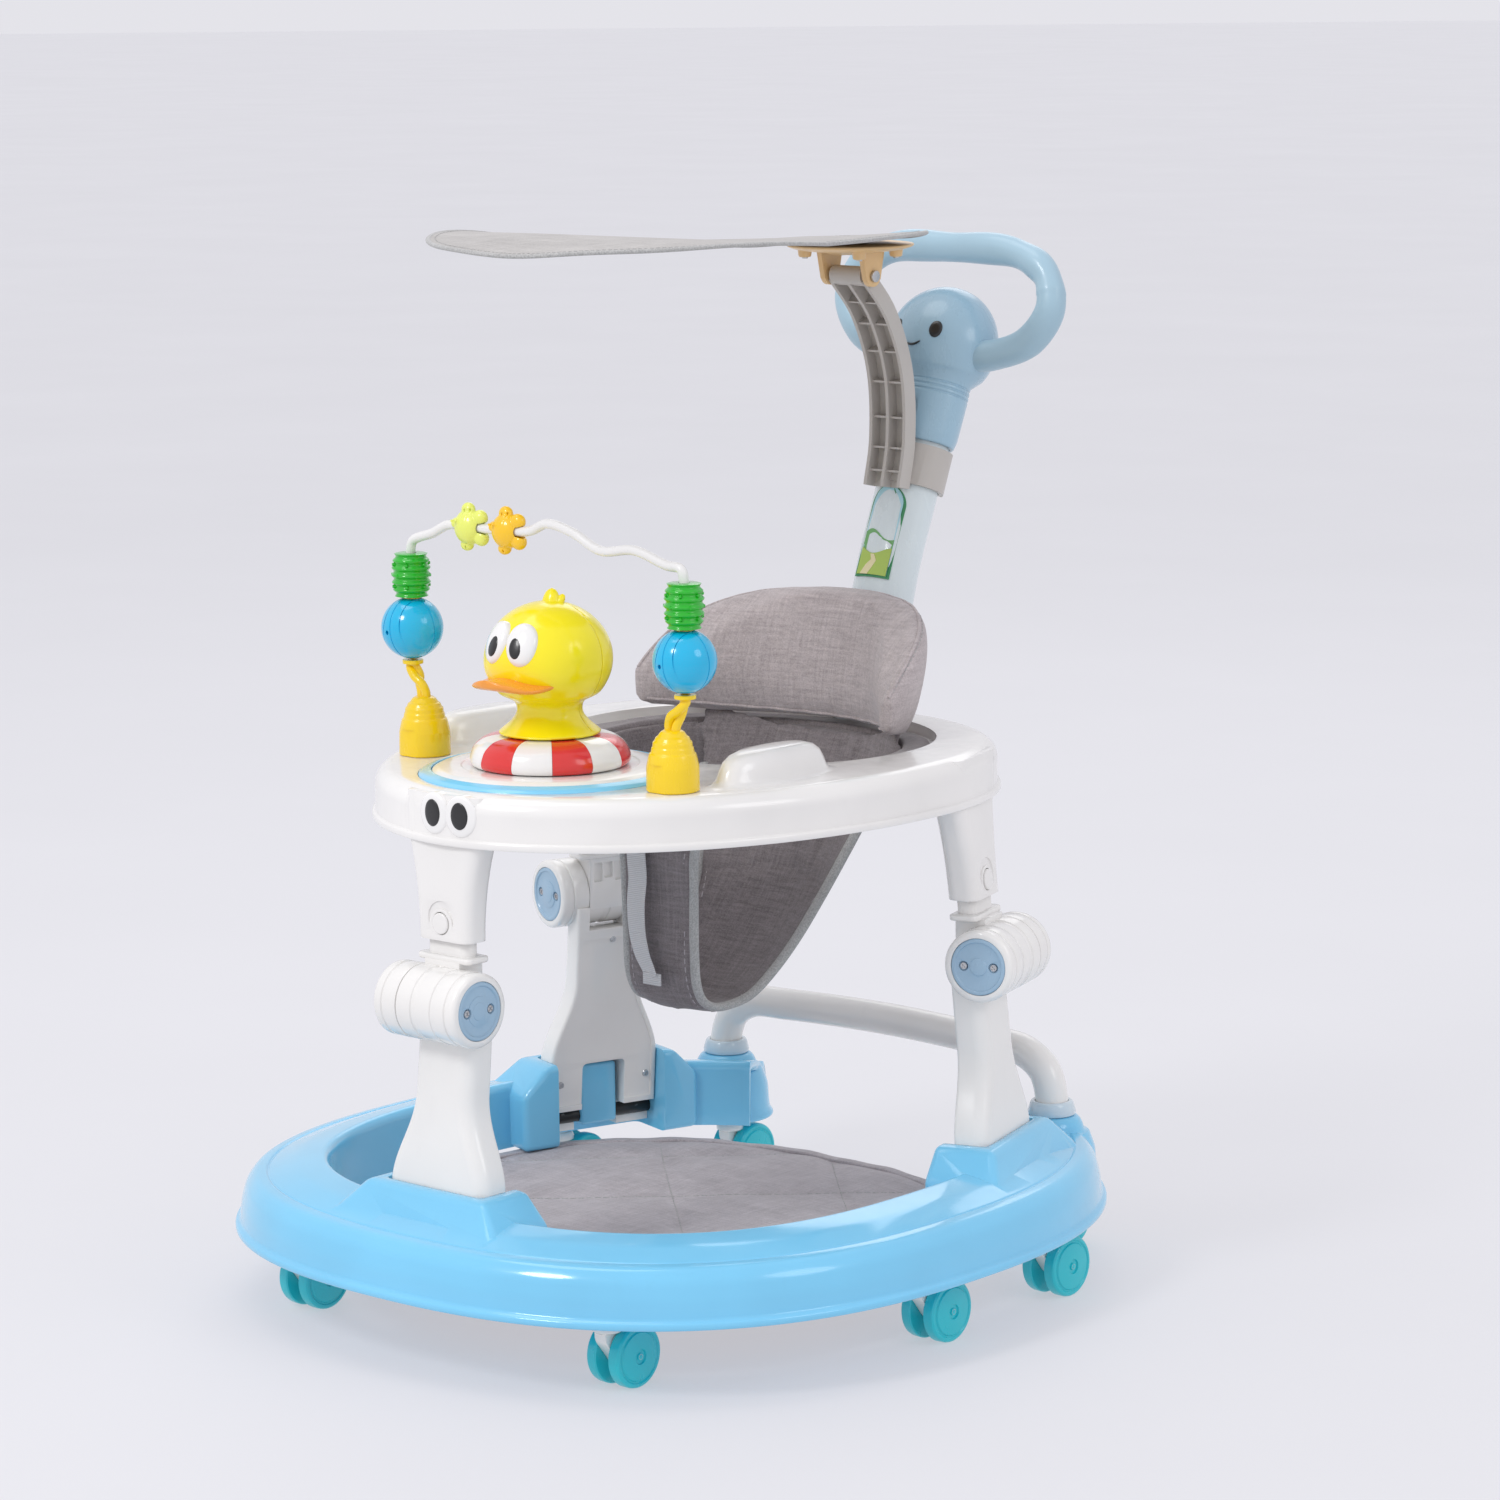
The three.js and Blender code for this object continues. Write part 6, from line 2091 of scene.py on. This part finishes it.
# A row of short stitches along a path
def stitchRow(name, path, finish, body, slot, length=3.4, space=2.0, radius=0.42):
    pieces, travelled, start = [], 0.0, path[0]
    for a, b in zip(path, path[1:]):
        travelled += (b - a).length
        if travelled >= length + space:
            end = start.lerp(b, length / (length + space))
            if (end - start).length > 0.5:
                pieces.append(rod("stitch", start, end, radius, 6))
            start, travelled = b.copy(), 0.0
    return finishGroup(name, pieces, finish, body, slot, 60)


def backCushion():
    rings = []
    for i in range(91):
        degrees = 5 + 170 * i / 90
        rings.append([cushionPoint(degrees, -a, cushion["start"]) for a in turns(40)])
    pad = loft("back_cushion_pad", rings)
    plump(pad, cushion["pressure"], cushion["cap"], cushion["voxel"])
    # the inner face has a shallow crease under its padded border
    middle = cushion["radius"] - cushion["thick"] / 2
    for v in pad.data.vertices:
        x, y, z = spotOf(v.co)
        a = math.atan2(y - cushion["centreY"], x)
        share = max(0.0, min(a, math.pi - a) / (math.pi / 2))
        swell = 1 - (1 - share) ** 3
        top = cushion["tipZ"] + (cushion["top"] - cushion["tipZ"]) * swell
        near = (math.hypot(x, y - cushion["centreY"]) - (middle - cushion["recline"] * swell * 0.4))
        crease = math.exp(-(((top - z - 15) / 5) ** 2)) * (1 if near < 0 else 0) * min(1, share * 4)
        puckers = math.sin(a * 23 + z * 0.05) * math.exp(-(((z - cushion["bottom"] - 8) / 12) ** 2))
        v.co += Vector((math.cos(a), math.sin(a), 0)) * (0.9 * crease + 0.5 * puckers) / 1000
    pad.name = "back_cushion_pad"
    finishPiece(pad, "greyCloth", "tray", "grey_fabric", "back_cushion", angle=0)
    for name, turn, beside in cushion["seams"]:
        path = [Vector(cushionPoint(6 + 168 * i / 150, turn, 0.97)) for i in range(151)]
        path = softPath(snapTo(pad, path, 0.35), 4)
        piping = tubeAlong("cushion_piping_" + name, path, ellipse(1.35, 1.35, 12), Vector((0, 0, 1)))
        finishPiece(piping, "greyCloth", "tray", "grey_fabric", angle=60)
        row = [Vector(cushionPoint(6 + 168 * i / 500, turn + beside, 0.97)) for i in range(501)]
        row = softPath(snapTo(pad, row, 0.12), 3)
        stitchRow("cushion_stitches_" + name, row, "binding", "tray", "grey_fabric")


sling = {
    # y and z along the middle of the cloth, its half width there, how far its edges curl inward
    "run": [
        (-49, 437, 104, 38), (-49, 420, 92, 28), (-48, 404, 62, 12), (-46, 386, 44, 6),
        (-44, 360, 38.5, 3), (-43, 320, 37.5, 3), (-42.5, 282, 37, 3), (-40, 256, 37, 3),
        (-31, 238, 37, 3.5), (-15, 229, 37.5, 4), (4, 227.5, 40, 5), (24, 232, 47, 7),
        (48, 246, 53, 11), (74, 270, 60, 14), (100, 302, 69, 18), (124, 338, 80, 22),
        (145, 374, 92, 26), (164, 408, 104, 31), (179, 437, 108, 38),
    ],
    "thick": 5.2, "voxel": 2.6, "seamLow": 322, "seamHigh": 392, "seamAside": 34,
}


# Points across the cloth for each step along it, with the inward direction
def slingSections(perSpan=6):
    centres = catmull([(y, z, 0) for y, z, w, c in sling["run"]], perSpan)
    sizes = catmull([(w, c, 0) for y, z, w, c in sling["run"]], perSpan)
    return [
        (p.x, p.y, s.x, s.y, -ahead.y, ahead.x) for p, s, ahead in zip(centres, sizes, headings(centres))
    ]


def slingPoint(row, share, lift):
    y, z, half, curl, inY, inZ = row
    deep = curl * share * share + lift
    return (half * share, y + inY * deep, z + inZ * deep)


def seatSling():
    rows = slingSections()
    thick = sling["thick"]
    shares = [-1 + 2 * k / 24 for k in range(25)]
    rings = []
    for row in rows:
        under = [slingPoint(row, share, 0) for share in shares]
        rings.append(under + [slingPoint(row, -share, thick) for share in shares])
    cloth = loft("seat_sling_cloth", rings)
    # the band round the opening that the tray's clips hold
    profile = [(1.6, 399), (1.6, 438), (2.2, 439.5), (5.6, 439.5), (6.4, 438), (6.4, 399)]
    levels = [[(x, y, z) for x, y in egg(seatHole, inset, 160)] for inset, z in profile]
    cloth = group(cloth, loft("band", list(zip(*levels)), closedPath=True))
    cloth.name = "seat_sling_cloth"
    modify(cloth, "REMESH", mode="VOXEL", voxel_size=sling["voxel"] / 1000)
    modify(cloth, "SMOOTH", factor=0.5, iterations=4)
    # quilting: a seam across the back, seams down it, and slack folds between
    normals = [v.normal.copy() for v in cloth.data.vertices]
    for v, n in zip(cloth.data.vertices, normals):
        x, y, z = spotOf(v.co)
        if y > 30:
            up = z - sling["seamLow"]
            down = abs(abs(x) - sling["seamAside"] - up * 0.12) if up > 0 else 99
            near = min(abs(up - 10 * math.cos(x / 40)), abs(z - sling["seamHigh"]), down)
            move = 2.6 * (1 - math.exp(-near / 7)) - 2.2
            move += 0.9 * math.sin(x * 0.16 + z * 0.045) * math.exp(-near / 26)
        elif y < -20:
            move = 0.5 * math.sin(z * 0.09 + x * 0.05) + 0.35 * math.sin(x * 0.3 + z * 0.03)
        else:
            move = 0.9 * math.sin(y * 0.17 + x * 0.07)
        v.co += n * move / 1000
    finishPiece(cloth, "slingCloth", "tray", "grey_fabric", "seat_sling", angle=0)

    # leg-hole binding, with stitches beside it
    first, last = 12, len(rows) - 9
    for side, hand in ((1, "left"), (-1, "right")):
        edge = [Vector(slingPoint(row, side, thick / 2)) for row in rows[first:last]]
        tape = tubeAlong("sling_binding_" + hand, softPath(edge, 2), ellipse(4.4, 3.6, 20))
        finishPiece(tape, "binding", "tray", "grey_fabric", angle=60)
        inner = [Vector(slingPoint(row, side * (1 - 7.5 / row[2]), thick / 2))
                 for row in slingSections(40)[first * 6:-60]]
        raised = softPath(snapTo(cloth, inner, 0.15), 2)
        stitchRow("sling_stitches_" + hand, raised, "matCloth", "tray", "grey_fabric", 4.2, 3.2, 0.5)


strap = {
    # x and z of its middle, from the buckle down
    "spots": [
        (-12, 384), (-12.5, 366), (-9.5, 345), (-10.5, 322), (-9, 298), (-5, 280), (-1, 270), (3, 262),
    ],
    "width": 18.4, "buckle": (-12, -53.5, 386),
}


# The waist strap's spare end hangs down the front of the sling from its side-release buckle
def strapAndBuckle():
    centre = []
    for i, (x, z) in enumerate(strap["spots"]):
        hang = 1.0 + 4.2 * math.sin(math.pi * i / (len(strap["spots"]) - 1)) ** 2
        centre.append((x, -50.5 - hang, z))
    path = catmull(centre, 10)
    rings = []
    for i, (p, ahead) in enumerate(zip(path, headings(path))):
        twist = math.radians(-8 + 26 * (i / (len(path) - 1)) ** 2)
        side = Vector((math.cos(twist), -math.sin(twist), 0))
        side = (side - ahead * side.dot(ahead)).normalized()
        out = ahead.cross(side)
        rings.append(
            [tuple(p + side * a + out * b) for a, b in roundedRectangle(strap["width"], 1.3, 0.6, 3)]
        )
    finishPiece(loft("waist_strap", rings), "webbing", "tray", "grey_fabric", angle=60)
    end = path[-1]
    tip = slab("waist_strap_end", [(-9.4, -1.2), (9.4, -1.2), (9.4, 1.2), (-9.4, 1.2)], -5, 5)
    tip.data.transform(Matrix.Translation(place(end.x, end.y, end.z - 1) - place(0, 0, 0)))
    finishPiece(soften(tip, 0.5, 2), "webbing", "tray", "grey_fabric")
    x, y, z = strap["buckle"]
    shell = soften(blockAt("shell", x - 13, x + 13, y - 4.5, y + 4.5, z - 13, z + 16), 2.6, 4)
    shell = carve(shell, blockAt("slotA", x - 9.8, x + 9.8, y - 1.6, y + 1.6, z - 20, z - 6))
    shell = carve(shell, soften(blockAt("slotB", x - 9, x + 9, y - 8, y - 2.6, z - 3, z + 9), 1, 2))
    parts = [shell]
    for x0 in (x - 15.5, x + 11):
        parts.append(soften(blockAt("prong", x0, x0 + 4.5, y - 3, y + 3, z - 6, z + 8), 1.4, 3))
    finishGroup("waist_buckle", parts, "black", "tray", "black_steel")


flap = {"inside": 4.5, "outside": -20.5, "thick": 1.1}


# The cloth turned out over the tray's ledge all round the opening
def seatFlap():
    top = tray["top"] - ledge["drop"]
    count, rings, run = 240, [], 0.0
    for a in turns(count):
        wave = 0.5 + 0.5 * (math.sin(a * 9 + 1.1) + 0.6 * math.sin(a * 17 + 0.4))
        reach = flap["outside"] + 1.6 * math.sin(a * 6 + 2) + 0.8 * math.sin(a * 13)
        insets = [flap["inside"], flap["inside"] - 2.4, 0.4, -6, -13, reach]
        heights = [top - 14, top - 2, top + 1.1, top + 1.1 + wave, top + 1.54 + 1.2 * wave, top + 1.0]
        line = [eggPoint(seatHole, a, inset) + Vector((0, 0, z)) for inset, z in zip(insets, heights)]
        line = catmull(line, 3)
        rings.append(
            [tuple(p) for p in line] + [tuple(p + Vector((0, 0, flap["thick"]))) for p in reversed(line)]
        )
        run += sum((b - c).length for b, c in zip(line, line[1:]))
    cloth = loft("seat_flap", rings, closedPath=True)
    finishPiece(cloth, "slingCloth", "tray", "grey_fabric", angle=60)


# The small orange pull tab on the opening's front edge
def seatTab():
    spot = eggPoint(seatHole, math.radians(262), 3)
    path = catmull(
        [
            (spot.x, spot.y + 9, 436), (spot.x, spot.y + 3, 444), (spot.x, spot.y - 5, 446.5),
            (spot.x, spot.y - 14, 446.2), (spot.x, spot.y - 20, 444.6)
        ],
        8
    )
    tab = tubeAlong("orange_tab", path, roundedRectangle(22, 1.5, 0.7, 3))
    finishPiece(tab, "orange", "tray", "orange", angle=60)


mat = {
    "z": 56, "puff": 3.6, "gridU": 205, "startU": -23, "gridV": 190, "startV": 40,
    "plan": {
        "halfWidth": base["halfWidth"] - base["width"] - 6, "front": 246, "rear": 232, "centreY": -36,
        "frontPower": 2.4, "rearPower": 2.4,
    },
}


# Distance to the nearest quilting seam; the seams run both ways across at 45 degrees
def matSeam(x, y):
    u = (x + y + 4 * math.sin(y * 0.013) - mat["startU"]) / mat["gridU"]
    v = (y - x + 5 * math.sin(x * 0.011) - mat["startV"]) / mat["gridV"]
    return min(abs(u - round(u)) * mat["gridU"], abs(v - round(v)) * mat["gridV"]) / math.sqrt(2)


def matHeight(x, y, edge):
    d = matSeam(x, y)
    puff = mat["puff"] * (1 - math.exp(-d / 20)) * min(1, edge / 0.08)
    ripple = 0.55 * math.sin(x * 0.05 + y * 0.02) * math.sin(
        y * 0.043 - x * 0.015
    ) + 0.5 * math.exp(-d / 12) * math.sin((x - y) * 0.11)
    return mat["z"] + 1.6 + puff + ripple * min(1, edge / 0.06)


def floorMat():
    plan = mat["plan"]
    rim = egg(plan, 0.6, 260)
    rows = 84
    points = []
    for under in (False, True):
        for i in range(rows + 1):
            share = i / rows
            for x, y in rim:
                px, py = x * share, plan["centreY"] + (y - plan["centreY"]) * share
                z = matHeight(px, py, 1 - share)
                points.append((px, py, mat["z"] + 0.2 + (z - mat["z"] - 1.6) * 0.1 if under else z))
    pad = layeredDisc("floor_mat_pad", points, rows, len(rim))
    finishPiece(pad, "matCloth", "base", "mat_fabric", "floor_mat", angle=60)
    rings = []
    edge = [Vector((x, y, 0)) for x, y in rim]
    for i, (p, ahead) in enumerate(zip(edge, headings(edge, closed=True))):
        out = Vector((ahead.y, -ahead.x, 0))
        lift = 0.5 * math.sin(i * 0.37) + 0.35 * math.sin(i * 0.83)
        c = p + Vector((0, 0, mat["z"] + 2.6 + lift)) - out * 4.6
        rings.append(
            [tuple(c + out * a + Vector((0, 0, b))) for a, b in roundedRectangle(10, 3.4, 1.6, 4)]
        )
    hem = loft("floor_mat_hem", rings, closedPath=True)
    finishPiece(hem, "matCloth", "base", "mat_fabric", angle=60)
    stitching = []
    for n in range(-3, 4):
        for kind in ("u", "v"):
            path = []
            for t in range(-350, 350):
                if kind == "u":
                    x, y = mat["startU"] + n * mat["gridU"] - t - 4 * math.sin(t * 0.013), t
                else:
                    x, y = t, mat["startV"] + n * mat["gridV"] + t - 5 * math.sin(t * 0.011)
                reach = plan["rear"] if y > plan["centreY"] else plan["front"]
                power = plan["frontPower"]
                share = (abs(x) / plan["halfWidth"]) ** power + (
                    abs(y - plan["centreY"]) / reach
                ) ** power
                if share < 0.9:
                    path.append(Vector((x, y, matHeight(x, y, 1 - share ** (1 / power)) + 0.15)))
            if len(path) > 40:
                stitching.append(
                    stitchRow("mat_row", path, "binding", "base", "mat_fabric", 4.4, 1.6, 0.42)
                )
    finishGroup("floor_mat_stitching", stitching, "binding", "base", "mat_fabric", 60)


floorMat()
print("floor mat done")
seatSling()
strapAndBuckle()
seatFlap()
seatTab()
print("sling done")
backCushion()
print("cushion done")


makeStudio()
makeCamera()
